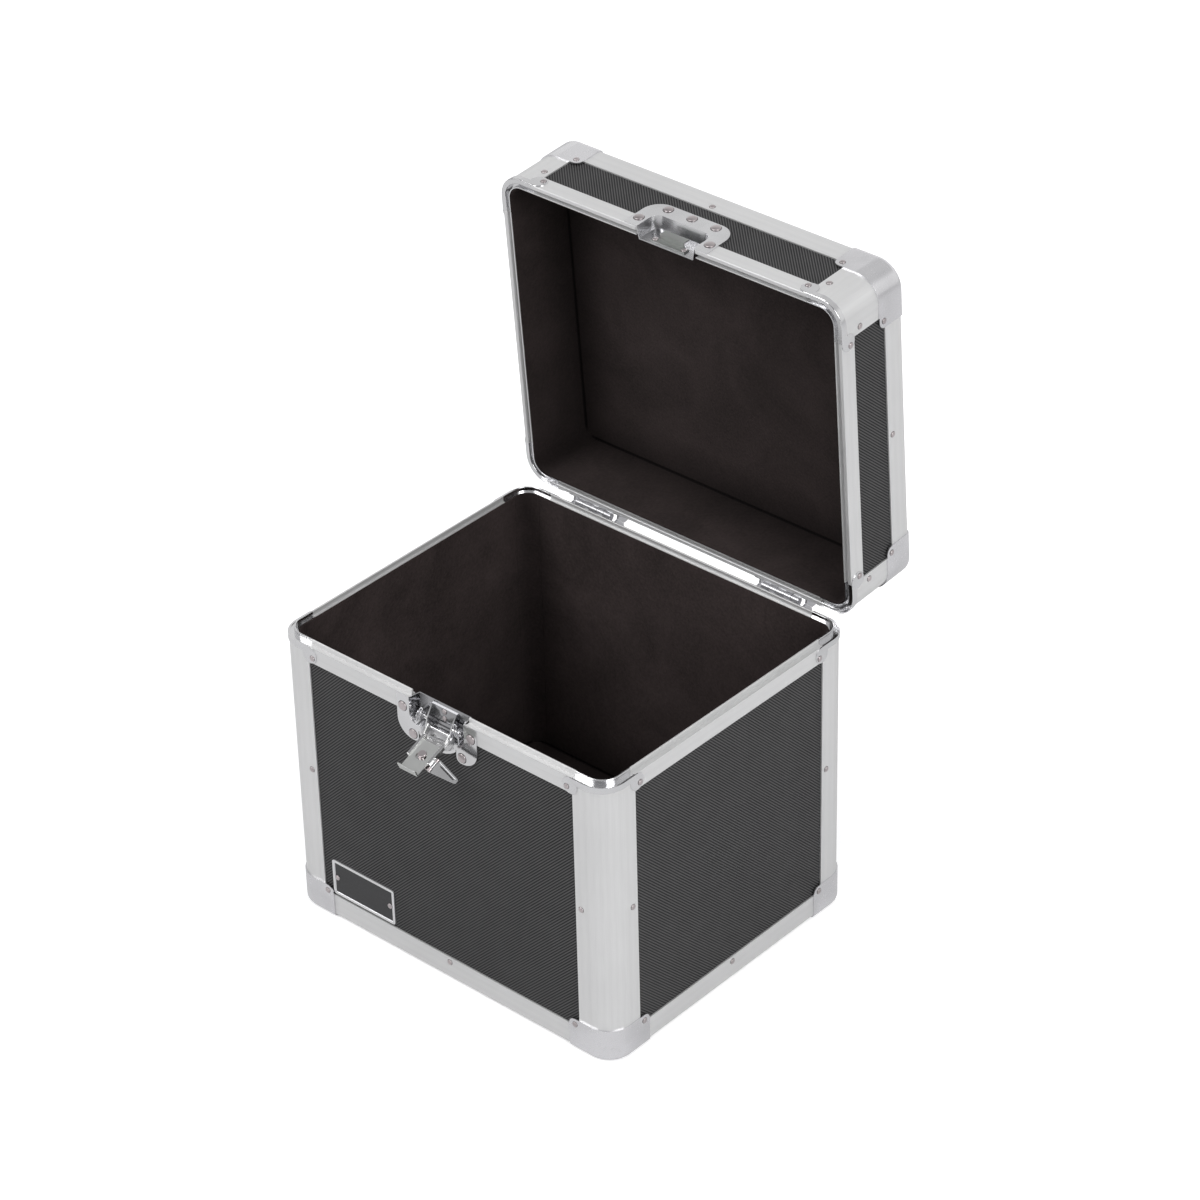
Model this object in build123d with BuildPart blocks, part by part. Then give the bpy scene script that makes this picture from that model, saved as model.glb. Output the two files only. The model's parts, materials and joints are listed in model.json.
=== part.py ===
from build123d import *
import os
from math import cos, radians, tan

os.makedirs("parts", exist_ok=True)

# A record carrying case: a deep plywood box with a shallow hinged lid, held together by
# aluminium extrusions, steel corners and a recessed butterfly latch.
# Millimetres. +Z is up, the latch faces -Y, and the origin is the middle of the lined
# floor, where the records stand. The lid stands open and the latch hangs swung out.
#
# A tray is a box open at its rim: the base is one, and the lid is another upside down.
# Each tray has its own frame, with z running from its closed face (0) to its rim.
# "depth" in a wall's section is measured inward from the wall's outer face.

# ---------------------------------------------------------------- driving dimensions
width = 364.0
depth = 307.0
base_height = 275.8
lid_height = 77.5
rim_gap = 0.5
lid_open_angle = 86.0

# walls
skin = 1.2                 # extrusion metal lying over the panels
ply = 6.0
lining = 2.0
corner_radius = 22.0       # outer radius of the upright corners
corner_leg = 35.5          # reach of an upright corner extrusion along each wall
corner_core_run = 3.0      # the timber core's straight run before a panel starts
edge_radius = 4.0
edge_leg = 23.0

# rim
rim_band = 15.4            # height of the rim extrusion's outer leg
rim_web = 1.8
rim_lip = 1.0              # thickness of the leg that hides the lining's edge
lining_lap_gap = 0.3       # the lining that laps the rim's inner lip stops this much short
rim_bead = 1.0
rim_ledge = 0.5
tongue_depth = 4.6         # where the tongue starts, measured inward
tongue = 1.6
tongue_height = 4.2
groove_clearance = 0.6     # between tongue and outer lip
groove_room = 0.8          # above the tongue with the lid closed
lid_lip_drop = 0.4         # the inner lip stays this much short of the lid's rim plane
tongue_round = 0.6
lid_lip_round = 0.8

# chromed rim corners
rim_skirt = 0.9
rim_skirt_height = 5.5
rim_tab_reach = 45.0
rim_tab_overlap = 1.5

# steel corners
steel = 1.2
steel_reach = 46.0
steel_height = 30.8
steel_ear_radius = 6.5
steel_plate_radius = 14.0

# rivets
rivet_head = 2.75
rivet_crown = 1.9
rivet_height = 1.2
big_rivet_head = 4.8
big_rivet_crown = 3.6
big_rivet_height = 1.5
ear_rivet_reach = 39.5
ear_rivet_height = 25.3
tab_rivet_reach = 40.5
tab_rivet_drop = 9.8
leg_rivet_reach = 29.6
base_leg_rivet_height = 147.8
lid_leg_rivet_drop = 23.0
edge_rivet_height = 17.6

# latch dish and catch dish
dish_half_width = 30.5
dish_drop = 24.0
dish_corner = 9.0
dish_floor = 10.0          # depth of the floor below the wall's face
dish_sheet = 1.0
dish_draft = 12.0
flange_half_width = 44.3
flange_drop = 40.5
flange_corner = 17.0
dish_clearance = 0.3
scoop_half_width = 18.4
scoop_side_drop = 29.4
scoop_arch_drop = 37.6
scoop_rim = 2.0            # flat rim round the scoop
scoop_depth = 9.0
scoop_deep_half_width = 15.6
scoop_deep_drop = 20.0
scoop_deep_arch_drop = 22.2
scoop_start = 17.0         # inside the bowl
lobe_inner = 21.0          # the flange's two lower lobes start this far from the middle
lobe_corner = 5.0
dish_rivet_high = (37.8, 11.5)
dish_rivet_low = (25.5, 34.3)
lobe_rivet = (27.2, 34.6)

# latch
pivot_depth = 3.0
pivot_drop = 22.3
pivot_radius = 1.5
fit_clearance = 0.06
play = 0.3                 # between faces that pass each other
sliding_gap = 0.1          # between flat faces that slide on each other
latch_open_angle = 112.6
latch_sheet = 1.2
carriage_half_width = 12.5
carriage_start = 7.0
carriage_end = 29.8
carriage_back = 3.2
carriage_slot_reach = 5.5
carriage_slot_height = 9.6
carriage_slot_length = 4.4
carriage_slot_width = 1.6
cheek_lip = 2.6            # folded inward over the hook's edges
ear_radius = 3.4
hook_half_width = 10.6
hook_start = 11.8
hook_shoulder = 30.0
hook_shoulder_run = 2.0
hook_neck_half_width = 10.0
hook_end = 43.4
hook_lip_back = -3.6
hook_travel = 4.0
spindle_height = 24.5
spindle_radius = 3.0
spindle_head = 3.6
spindle_head_height = 1.5
spindle_head_round = 0.5
cam_radius = 2.4
cam_slot_clearance = 0.8
wing_seat_radius = 6.5
bracket_top_drop = 3.0
bracket_bottom_drop = 17.0
bracket_ear_radius = 3.2
bracket_rivet_drops = (6.0, 13.0)
spring_centre = 21.5
spring_depth = 3.6
spring_drop = 15.3
spring_radius = 4.4
spring_wire = 1.5
spring_turns = 3
spring_stud = 2.2
wing_hinge_reach = 12.2
wing_hinge_height = 6.6
wing_knuckle = 1.7
wing_pin = 0.8
wing_droop = 12.0
wing_low = 20.4
wing_high = 33.2
wing_tip = (35.9, 28.2)
wing_tip_radius = 2.4
wing_rim = 1.4             # stiffening rim along the upper edge
wing_rim_height = 0.7
wing_knuckle_length = 3.0
wing_slit = 1.3
wing_slit_inset = 4.0       # from the hinge line and from the low edge
wing_slit_end = 2.0         # short of the tip circle's middle

# keeper
keeper_half_width = 12.7
keeper_foot_half_width = 18.0
keeper_foot_drop = 2.0
keeper_riser_drop = 8.0
keeper_hook_gap = 0.3
keeper_depth = 4.4

# stop hinges
hinge_half_width = 30.0
hinge_corner_gap = 2.0     # between a leaf and the rim corner's tab
hinge_leaf = 1.3
hinge_leaf_height = 32.0
hinge_axis_reach = 4.5
hinge_knuckle = 2.9
hinge_pin = 1.5
hinge_knuckle_run = 20.0
hinge_cheek_start = 24.0
hinge_cheek = 2.0
hinge_cheek_reach = 9.0
hinge_stop_gap = 0.24
hinge_cheek_root = 1.5      # the cheek starts this far out from the leaf's level
hinge_rim_gap = 0.9         # the leaf stays this much short of the rim plane
hinge_rivet_drop = 24.0

# handle
handle_half_width = 70.0
handle_pivot_height = 9.0
handle_reach = 38.0
handle_bend = 16.0
handle_rod = 3.5
handle_eye = 5.5
handle_eye_half = 4.0
handle_pin = 2.0
grip_radius = 8.2
grip_end = 6.6
grip_length = 100.0
bracket_plate = 1.2
bracket_ear = 2.0
bracket_foot_width = 34.0
bracket_foot_depth = 26.0
bracket_foot_corner = 5.0
bracket_rivet_margin = 1.0  # between a rivet's head and the foot's edge

# blank nameplate
plate_leg_gap = 10.1       # clear of the upright extrusion
plate_edge_gap = 2.0       # clear of the bottom extrusion
plate_width = 73.0
plate_height = 36.0
plate_sheet = 0.6
plate_border = 2.2
plate_border_height = 1.0
plate_corner = 3.0
plate_rivet_margin = 0.4   # between the border and the rivet's head

# ---------------------------------------------------------------- derived sizes
ply_out = skin
ply_in = skin + ply
lining_in = ply_in + lining
groove_out = tongue_depth - groove_clearance
groove_floor = tongue_height + groove_room - rim_gap
lid_web_bottom = groove_floor + rim_web
notch_half_width = dish_half_width + dish_sheet + dish_clearance
notch_drop = dish_drop + dish_sheet + dish_clearance
hinge_place = width / 2 - rim_tab_reach - hinge_corner_gap - hinge_half_width


def placed(frame, local):
    """The plane that a frame's own coordinates call local."""
    return Plane(frame.location * local.location)


def swung(frame, pivot, angle):
    """A frame turned about a line through pivot along X."""
    turn = Location(pivot) * Location((0, 0, 0), (angle, 0, 0)) * Location(pivot).inverse()
    return Plane(turn * frame.location)


tray = Plane.XY
base = Plane((0, 0, -lining_in))
rim_plane = base_height - lining_in
hinge_axis = (0, depth / 2 + hinge_axis_reach, rim_plane + rim_gap / 2)
lid_closed = Plane((0, 0, rim_plane + rim_gap + lid_height), x_dir=(-1, 0, 0), z_dir=(0, 0, -1))
lid = swung(lid_closed, hinge_axis, -lid_open_angle)

# wall planes: x along the wall, y towards the rim, z outward
front = Plane((0, -depth / 2, 0), x_dir=(1, 0, 0), z_dir=(0, -1, 0))
right = Plane((width / 2, 0, 0), x_dir=(0, 1, 0), z_dir=(1, 0, 0))
back = Plane((0, depth / 2, 0), x_dir=(-1, 0, 0), z_dir=(0, 1, 0))
left = Plane((-width / 2, 0, 0), x_dir=(0, -1, 0), z_dir=(-1, 0, 0))
walls = [(front, width / 2), (right, depth / 2), (back, width / 2), (left, depth / 2)]

# corner planes: x and y run inward along the two walls, z towards the rim
corners = [
    Plane((-width / 2, -depth / 2, 0), x_dir=(1, 0, 0), z_dir=(0, 0, 1)),
    Plane((width / 2, -depth / 2, 0), x_dir=(0, 1, 0), z_dir=(0, 0, 1)),
    Plane((width / 2, depth / 2, 0), x_dir=(-1, 0, 0), z_dir=(0, 0, 1)),
    Plane((-width / 2, depth / 2, 0), x_dir=(0, -1, 0), z_dir=(0, 0, 1)),
]


# ---------------------------------------------------------------- shared shapes
def section_plane(frame, wall, start):
    """Across a wall: x is the depth from its face and y the height, z runs along it."""
    across = Plane((start, 0, 0), x_dir=(0, 0, -1), z_dir=(1, 0, 0))
    return placed(placed(frame, wall), across)


def bar(frame, wall, start, end, points, mode=Mode.ADD):
    """A straight bar along a wall, with a section of (depth, height) points."""
    with BuildSketch(section_plane(frame, wall, start)) as section:
        with BuildLine():
            Polyline(*points, close=True)
        make_face()
    extrude(section.sketch, amount=end - start, mode=mode)


def block(near, far, low, high):
    """The section of a flat piece, from one depth and height to another."""
    return [(near, low), (far, low), (far, high), (near, high)]


def angle_section(plane, near, far, radius, reach):
    """An L-shaped band round a corner: two legs joined by an arc about (radius, radius)."""
    with BuildSketch(plane) as band:
        with BuildLine():
            Line((near, reach), (near, radius))
            CenterArc((radius, radius), radius - near, 180, 90)
            Polyline((radius, near), (reach, near), (reach, far), (radius, far))
            CenterArc((radius, radius), radius - far, 180, 90)
            Polyline((far, radius), (far, reach), (near, reach))
        make_face()
    return band.sketch


def corner_ring(near, far, low, high, reach):
    """A band round an upright corner, from one height to another."""
    extrude(angle_section(Plane.XY.offset(low), near, far, corner_radius, reach), amount=high - low)


def sheet_inside(plane, inset):
    """A rectangle with rounded corners, the tray's outline drawn in by inset."""
    with BuildSketch(plane) as sheet:
        RectangleRounded(width - 2 * inset, depth - 2 * inset, corner_radius - inset)
    return sheet.sketch


def copies(shape, frame, places):
    """The same piece added at each of a frame's places."""
    for place in places:
        add(shape.part.moved(placed(frame, place).location))


def wall_spots(reach, height, lift):
    """Places at both ends of every wall, reach from the corner."""
    spots = []
    for wall, half in walls:
        spots.append(placed(wall, Plane((half - reach, height, lift))))
        spots.append(placed(wall, Plane((reach - half, height, lift))))
    return spots


def wall_panel(frame, wall, half, height):
    """One plywood wall, between two corner cores."""
    end = half - corner_radius - corner_core_run
    bar(frame, wall, -end, end, block(ply_out, ply_in, edge_radius, height))


def dish_notch(frame, height):
    """Room for the dish in a front panel."""
    low = height - notch_drop
    bar(frame, front, -notch_half_width, notch_half_width, block(0, lining_in, low, height), Mode.SUBTRACT)


def wall_linings(frame, web, top):
    """Four flat linings, thinner where they lap the rim's inner lip above its web."""
    for wall, half in walls:
        end = half - corner_radius - lining
        bar(frame, wall, -end, end, [
            (ply_in, ply_in), (lining_in, ply_in), (lining_in, top), (ply_in + rim_lip, top),
            (ply_in + rim_lip, web), (ply_in, web)])


def corner_strip(web, top):
    """The lining round one upright corner, lapping the lip as the walls' linings do."""
    corner_ring(ply_in, lining_in, ply_in, web, corner_radius + lining)
    corner_ring(ply_in + rim_lip, lining_in, web, top, corner_radius + lining)


def edge_bars(frame):
    """Four rounded angles along the closed face's edges."""
    for wall, half in walls:
        end = half - corner_leg
        plane = section_plane(frame, wall, -end)
        extrude(angle_section(plane, 0, skin, edge_radius, edge_leg), amount=2 * end)


def long_edges_at(part, height):
    """The edges that run along a rim at one height, without the short ones across it."""
    return part.edges().filter_by(
        lambda edge: abs(edge.bounding_box().min.Z - height) < 0.01
        and edge.bounding_box().size.Z < 0.01 and edge.length > 2 * groove_out)


def rim_bars(frame, section):
    """The rim's extrusions: the front one is in two lengths, either side of the dish."""
    for wall, half in walls:
        end = half - corner_leg
        if wall is front:
            bar(frame, wall, -end, -notch_half_width, section)
            bar(frame, wall, notch_half_width, end, section)
        else:
            bar(frame, wall, -end, end, section)


def rim_corner_cover(rim):
    """The proud skirt round a rim corner and the tabs that end it on both walls."""
    corner_ring(-rim_skirt, 0, rim - rim_skirt_height, rim, corner_leg)
    tab_radius = rim_band / 2
    tab_start = corner_leg - rim_tab_overlap
    for plane, outward in ((Plane((0, 0, 0), x_dir=(1, 0, 0), z_dir=(0, -1, 0)), 1),
                           (Plane((0, 0, 0), x_dir=(0, 1, 0), z_dir=(1, 0, 0)), -1)):
        with BuildSketch(plane) as tab:
            with Locations((rim_tab_reach - tab_radius, rim - tab_radius)):
                Circle(tab_radius)
            with Locations((tab_start, rim - rim_band)):
                Rectangle(rim_tab_reach - tab_radius - tab_start, rim_band, align=(Align.MIN, Align.MIN))
        extrude(tab.sketch, amount=outward * rim_skirt)


def post(low, high):
    """An upright corner extrusion: a skin round the corner with a leg on each wall."""
    corner_ring(0, skin, low, high, corner_leg)


def core(low, high):
    """The timber that fills a rounded corner between two panels."""
    corner_ring(ply_out, ply_in, low, high, corner_radius + corner_core_run)


def dish_outline(plane, half_width, drop, radius, above):
    """A rectangle hanging below the rim plane with its two lower corners rounded."""
    with BuildSketch(plane) as outline:
        with Locations((0, above)):
            Rectangle(2 * half_width, drop + above, align=(Align.CENTER, Align.MAX))
        fillet(outline.vertices().group_by(Axis.Y)[0], radius=radius)
    return outline.sketch


def arched_outline(plane, half_width, side_drop, arch_drop, start, grow=0):
    """A shape inside the dish's outline with straight sides and an arched foot."""
    side = half_width + grow
    with BuildSketch(plane) as outline:
        with BuildLine():
            Polyline((-side, -side_drop - grow), (-side, -start), (side, -start), (side, -side_drop - grow))
            ThreePointArc((side, -side_drop - grow), (0, -arch_drop - grow), (-side, -side_drop - grow))
        make_face()
    return outline.sketch


def scoop_face(plane, grow):
    """The scoop's outline at the wall's face."""
    return arched_outline(plane, scoop_half_width, scoop_side_drop, scoop_arch_drop, scoop_start, grow)


def scoop(grow, mode):
    """A thumb scoop that slopes from the dish's face to the foot of its bowl."""
    face = scoop_face(Plane.XY.offset(dish_sheet), grow)
    foot = arched_outline(Plane.XY.offset(-scoop_depth - grow), scoop_deep_half_width, scoop_deep_drop,
                          scoop_deep_arch_drop, scoop_start, grow)
    loft([face.face(), foot.face()], ruled=True, mode=mode)


def lobed_flange():
    """A flange whose foot is cut away round the scoop's rim, which leaves two lobes."""
    with BuildSketch() as flange:
        add(dish_outline(Plane.XY, flange_half_width, flange_drop, flange_corner, 0))
        with Locations((0, -scoop_side_drop)):
            Rectangle(2 * lobe_inner, flange_drop, align=(Align.CENTER, Align.MAX), mode=Mode.SUBTRACT)
        feet = flange.vertices().filter_by(
            lambda vertex: vertex.Y < 0.01 - flange_drop and abs(vertex.X) < lobe_inner + 0.01)
        fillet(feet, radius=lobe_corner)
        add(scoop_face(Plane.XY, scoop_rim))
    return flange.sketch


def dish_body(flange):
    """A drafted bowl with a flange, open at the rim plane (y = 0); z is outward."""
    into = Plane((0, 0, dish_sheet), x_dir=(-1, 0, 0), z_dir=(0, 0, -1))
    above = dish_floor + 2 * dish_sheet
    extrude(flange, amount=dish_sheet)
    with BuildSketch(Plane.XY) as below_band:
        with Locations((0, -rim_band)):
            Rectangle(2 * flange_half_width, flange_drop, align=(Align.CENTER, Align.MAX))
        add(flange, mode=Mode.INTERSECT)
    extrude(below_band.sketch, amount=-skin)
    outer = dish_outline(into, dish_half_width + dish_sheet, dish_drop + dish_sheet,
                         dish_corner + dish_sheet, above)
    extrude(outer, amount=dish_floor + 2 * dish_sheet, taper=dish_draft)


def dish_hollow():
    """The inside of the bowl, taken out, and everything above the rim plane with it."""
    into = Plane((0, 0, dish_sheet), x_dir=(-1, 0, 0), z_dir=(0, 0, -1))
    above = dish_floor + 2 * dish_sheet
    inner = dish_outline(into, dish_half_width, dish_drop, dish_corner, above)
    extrude(inner, amount=dish_floor + dish_sheet, taper=dish_draft, mode=Mode.SUBTRACT)
    split(bisect_by=Plane((0, 0, 0), x_dir=(1, 0, 0), z_dir=(0, -1, 0)), keep=Keep.TOP)


def side_section(half_width, points, mode=Mode.ADD):
    """A block across a dish, with a section of (depth, height) points."""
    with BuildSketch(Plane((-half_width, 0, 0), x_dir=(0, 0, -1), z_dir=(1, 0, 0))) as section:
        with BuildLine():
            Polyline(*points, close=True)
        make_face()
    extrude(section.sketch, amount=2 * half_width, mode=mode)


# ---------------------------------------------------------------- rivets
with BuildPart() as rivet:
    Cone(rivet_head, rivet_crown, rivet_height, align=(Align.CENTER, Align.CENTER, Align.MIN))

with BuildPart() as big_rivet:
    Cone(big_rivet_head, big_rivet_crown, big_rivet_height, align=(Align.CENTER, Align.CENTER, Align.MIN))

# ---------------------------------------------------------------- panels
base_panel_top = base_height - rim_web
lid_panel_top = lid_height - lid_web_bottom

with BuildPart() as base_front_panel:
    wall_panel(base, front, width / 2, base_panel_top)
    dish_notch(base, base_panel_top + rim_web)
    scoop_place = placed(base, placed(front, Plane((0, base_height, -ply_in))))
    extrude(scoop_face(scoop_place, dish_sheet + dish_clearance), amount=ply_in, mode=Mode.SUBTRACT)

with BuildPart() as base_back_panel:
    wall_panel(base, back, width / 2, base_panel_top)

with BuildPart() as base_side_panels:
    wall_panel(base, right, depth / 2, base_panel_top)
    wall_panel(base, left, depth / 2, base_panel_top)

with BuildPart() as base_floor_panel:
    extrude(sheet_inside(placed(base, Plane.XY.offset(skin)), ply_in), amount=ply)

with BuildPart() as lid_front_panel:
    wall_panel(lid, front, width / 2, lid_panel_top)
    dish_notch(lid, lid_height)

with BuildPart() as lid_back_panel:
    wall_panel(lid, back, width / 2, lid_panel_top)

with BuildPart() as lid_side_panels:
    wall_panel(lid, right, depth / 2, lid_panel_top)
    wall_panel(lid, left, depth / 2, lid_panel_top)

with BuildPart() as lid_top_panel:
    extrude(sheet_inside(placed(lid, Plane.XY.offset(skin)), ply_in), amount=ply)

# ---------------------------------------------------------------- linings
base_dish_place = placed(base, placed(front, Plane((0, base_height, 0))))
lid_dish_place = placed(lid, placed(front, Plane((0, lid_height, 0))))
base_lining_top = base_height - rim_ledge - lining_lap_gap
lid_lining_top = lid_height - lid_lip_drop - lining_lap_gap

with BuildPart() as scoop_room:
    scoop(dish_sheet + dish_clearance, Mode.ADD)

with BuildPart() as base_wall_lining:
    wall_linings(base, base_panel_top, base_lining_top)
    dish_notch(base, base_height)
    add(scoop_room.part.moved(base_dish_place.location), mode=Mode.SUBTRACT)

with BuildPart() as base_floor_lining:
    extrude(sheet_inside(placed(base, Plane.XY.offset(ply_in)), lining_in), amount=lining)

with BuildPart() as base_corner_strip:
    corner_strip(base_panel_top, base_lining_top)

with BuildPart() as base_corner_lining:
    copies(base_corner_strip, base, corners)

with BuildPart() as lid_wall_lining:
    wall_linings(lid, lid_panel_top, lid_lining_top)
    dish_notch(lid, lid_height)

with BuildPart() as lid_top_lining:
    extrude(sheet_inside(placed(lid, Plane.XY.offset(ply_in)), lining_in), amount=lining)

with BuildPart() as lid_corner_strip:
    corner_strip(lid_panel_top, lid_lining_top)

with BuildPart() as lid_corner_lining:
    copies(lid_corner_strip, lid, corners)

# ---------------------------------------------------------------- extrusions
with BuildPart() as base_post:
    post(edge_radius, base_height - rim_web)

with BuildPart() as base_corner_posts:
    copies(base_post, base, corners)

with BuildPart() as base_core:
    core(edge_radius, base_height - rim_web)

with BuildPart() as base_corner_cores:
    copies(base_core, base, corners)

with BuildPart() as lid_post:
    post(edge_radius, lid_height - lid_web_bottom)

with BuildPart() as lid_corner_posts:
    copies(lid_post, lid, corners)

with BuildPart() as lid_core:
    core(edge_radius, lid_height - lid_web_bottom)

with BuildPart() as lid_corner_cores:
    copies(lid_core, lid, corners)

with BuildPart() as base_edge_extrusions:
    edge_bars(base)

with BuildPart() as lid_edge_extrusions:
    edge_bars(lid)

# the base's rim carries a bead, a ledge and the tongue
with BuildPart() as base_rims:
    rim = base_height
    ledge = rim - rim_ledge
    web = rim - rim_web
    rim_bars(tray, [
        (0, rim - rim_band), (skin, rim - rim_band), (skin, web), (ply_in + rim_lip, web),
        (ply_in + rim_lip, ledge), (tongue_depth + tongue, ledge),
        (tongue_depth + tongue, rim + tongue_height), (tongue_depth, rim + tongue_height),
        (tongue_depth, ledge), (rim_bead, ledge), (rim_bead, rim), (0, rim),
    ])
    fillet(long_edges_at(base_rims, rim + tongue_height), radius=tongue_round)

with BuildPart() as base_rim_extrusions:
    add(base_rims.part.moved(base.location))

# the lid's rim carries the groove that takes the tongue
with BuildPart() as lid_rims:
    rim = lid_height
    web = rim - lid_web_bottom
    rim_bars(tray, [
        (0, rim - rim_band), (skin, rim - rim_band), (skin, web), (ply_in + rim_lip, web),
        (ply_in + rim_lip, rim - lid_lip_drop), (ply_in, rim - lid_lip_drop), (ply_in, rim - groove_floor),
        (groove_out, rim - groove_floor), (groove_out, rim), (0, rim),
    ])
    fillet(long_edges_at(lid_rims, rim), radius=lid_lip_round)

with BuildPart() as lid_rim_extrusions:
    add(lid_rims.part.moved(lid.location))

# ---------------------------------------------------------------- rim corners
with BuildPart() as base_rim_corner:
    rim = base_height
    rim_corner_cover(rim)
    corner_ring(0, ply_in + rim_lip, rim - rim_web, rim - rim_ledge, corner_leg)
    corner_ring(0, rim_bead, rim - rim_ledge, rim, corner_leg)
    corner_ring(tongue_depth, tongue_depth + tongue, rim - rim_ledge, rim + tongue_height, corner_leg)
    fillet(long_edges_at(base_rim_corner, rim + tongue_height), radius=tongue_round)

with BuildPart() as base_rim_corners:
    copies(base_rim_corner, base, corners)

with BuildPart() as lid_rim_corner:
    rim = lid_height
    rim_corner_cover(rim)
    corner_ring(0, ply_in + rim_lip, rim - lid_web_bottom, rim - groove_floor, corner_leg)
    corner_ring(0, groove_out, rim - groove_floor, rim, corner_leg)
    corner_ring(ply_in, ply_in + rim_lip, rim - groove_floor, rim - lid_lip_drop, corner_leg)
    fillet(long_edges_at(lid_rim_corner, rim), radius=lid_lip_round)

with BuildPart() as lid_rim_corners:
    copies(lid_rim_corner, lid, corners)


# ---------------------------------------------------------------- steel corners
def corner_block(outset, low, high, radius):
    """A block filling a corner, rounded along its closed edge."""
    with BuildPart() as filled:
        with BuildSketch(Plane.XY.offset(low)) as foot:
            with BuildLine():
                Line((-outset, steel_reach), (-outset, corner_radius))
                CenterArc((corner_radius, corner_radius), corner_radius + outset, 180, 90)
                Polyline((corner_radius, -outset), (steel_reach, -outset), (steel_reach, steel_reach),
                         (-outset, steel_reach))
            make_face()
        extrude(foot.sketch, amount=high - low)
        closed = filled.edges().group_by(Axis.Z)[0]
        rounded = [edge for edge in closed if min(edge.center().X, edge.center().Y) < corner_radius]
        rounded = [edge for edge in rounded if abs(edge.center().X - steel_reach) > outset + steel]
        rounded = [edge for edge in rounded if abs(edge.center().Y - steel_reach) > outset + steel]
        fillet(rounded, radius=radius)
    return filled.part


with BuildPart() as steel_corner:
    add(corner_block(steel, -steel, steel_height, edge_radius + steel))
    add(corner_block(0, 0, steel_height, edge_radius), mode=Mode.SUBTRACT)
    upright_edges = steel_corner.edges().filter_by(Axis.Z)
    plate_edge = upright_edges.sort_by(lambda edge: edge.center().X + edge.center().Y)[-1]
    fillet(plate_edge, radius=steel_plate_radius)
    ear_edges = steel_corner.edges().filter_by(
        lambda edge: edge.length < steel * 1.5 and edge.center().Z > steel_height - 0.01)
    fillet(ear_edges, radius=steel_ear_radius)

with BuildPart() as base_steel_corners:
    copies(steel_corner, base, corners)

with BuildPart() as lid_steel_corners:
    copies(steel_corner, lid, corners)

# ---------------------------------------------------------------- case rivets
with BuildPart() as base_rivets:
    copies(rivet, base, wall_spots(ear_rivet_reach, ear_rivet_height, steel))
    copies(rivet, base, wall_spots(tab_rivet_reach, base_height - tab_rivet_drop, rim_skirt))
    copies(rivet, base, wall_spots(leg_rivet_reach, base_leg_rivet_height, 0))
    copies(rivet, base, [placed(wall, Plane((0, edge_rivet_height, 0))) for wall, half in walls])

with BuildPart() as lid_rivets:
    copies(rivet, lid, wall_spots(ear_rivet_reach, ear_rivet_height, steel))
    copies(rivet, lid, wall_spots(tab_rivet_reach, lid_height - tab_rivet_drop, rim_skirt))
    copies(rivet, lid, wall_spots(leg_rivet_reach, lid_height - lid_leg_rivet_drop, 0))
    copies(rivet, lid, [placed(wall, Plane((0, edge_rivet_height, 0))) for wall, half in walls])

# ---------------------------------------------------------------- latch dish
with BuildPart() as scooped_dish:
    dish_body(lobed_flange())
    scoop(dish_sheet, Mode.ADD)
    dish_hollow()
    scoop(0, Mode.SUBTRACT)

with BuildPart() as latch_dish:
    add(scooped_dish.part.moved(base_dish_place.location))

with BuildPart() as plain_dish:
    dish_body(dish_outline(Plane.XY, flange_half_width, flange_drop, flange_corner, 0))
    dish_hollow()

with BuildPart() as catch_dish:
    add(plain_dish.part.moved(lid_dish_place.location))


def dish_spots(places):
    """Places on a dish's flange, given as (side, drop)."""
    spots = []
    for side, drop in places:
        spots.append(Plane((side, -drop, dish_sheet)))
        if side > 0:
            spots.append(Plane((-side, -drop, dish_sheet)))
    return spots


with BuildPart() as latch_dish_rivets:
    copies(big_rivet, base_dish_place, dish_spots([dish_rivet_high, lobe_rivet]))

with BuildPart() as catch_dish_rivets:
    copies(big_rivet, lid_dish_place, dish_spots([dish_rivet_high, dish_rivet_low, (0, dish_rivet_low[1])]))

# ---------------------------------------------------------------- latch bracket
bracket_half_width = carriage_half_width + play
ear_plane = Plane((0, 0, 0), x_dir=(0, 0, -1), z_dir=(1, 0, 0))

with BuildPart() as bracket:
    side_section(bracket_half_width + latch_sheet, block(
        dish_floor - latch_sheet, dish_floor, -bracket_bottom_drop, -bracket_top_drop))
    for side in (-bracket_half_width - latch_sheet, bracket_half_width):
        with BuildSketch(ear_plane.offset(side)) as ear:
            with Locations((pivot_depth, -pivot_drop)):
                Circle(bracket_ear_radius)
            with Locations((spring_depth, -spring_drop)):
                Circle(spring_stud)
            with Locations((dish_floor - latch_sheet, -bracket_bottom_drop)):
                Rectangle(latch_sheet, bracket_bottom_drop - bracket_top_drop, align=(Align.MIN, Align.MIN))
            make_hull()
        extrude(ear.sketch, amount=latch_sheet)
    with BuildSketch(ear_plane) as pin_hole:
        with Locations((pivot_depth, -pivot_drop)):
            Circle(pivot_radius)
    extrude(pin_hole.sketch, amount=2 * bracket_half_width, both=True, mode=Mode.SUBTRACT)

with BuildPart() as latch_bracket:
    add(bracket.part.moved(base_dish_place.location))

with BuildPart() as latch_bracket_rivets:
    floor_face = -dish_floor + latch_sheet
    copies(rivet, base_dish_place, [Plane((0, -drop, floor_face)) for drop in bracket_rivet_drops])

with BuildPart() as pivot_pin:
    with BuildSketch(ear_plane.offset(-bracket_half_width - latch_sheet - play)) as pin_section:
        with Locations((pivot_depth, -pivot_drop)):
            Circle(pivot_radius)
    extrude(pin_section.sketch, amount=2 * (bracket_half_width + latch_sheet + play))

with BuildPart() as latch_pin:
    add(pivot_pin.part.moved(base_dish_place.location))

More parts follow.
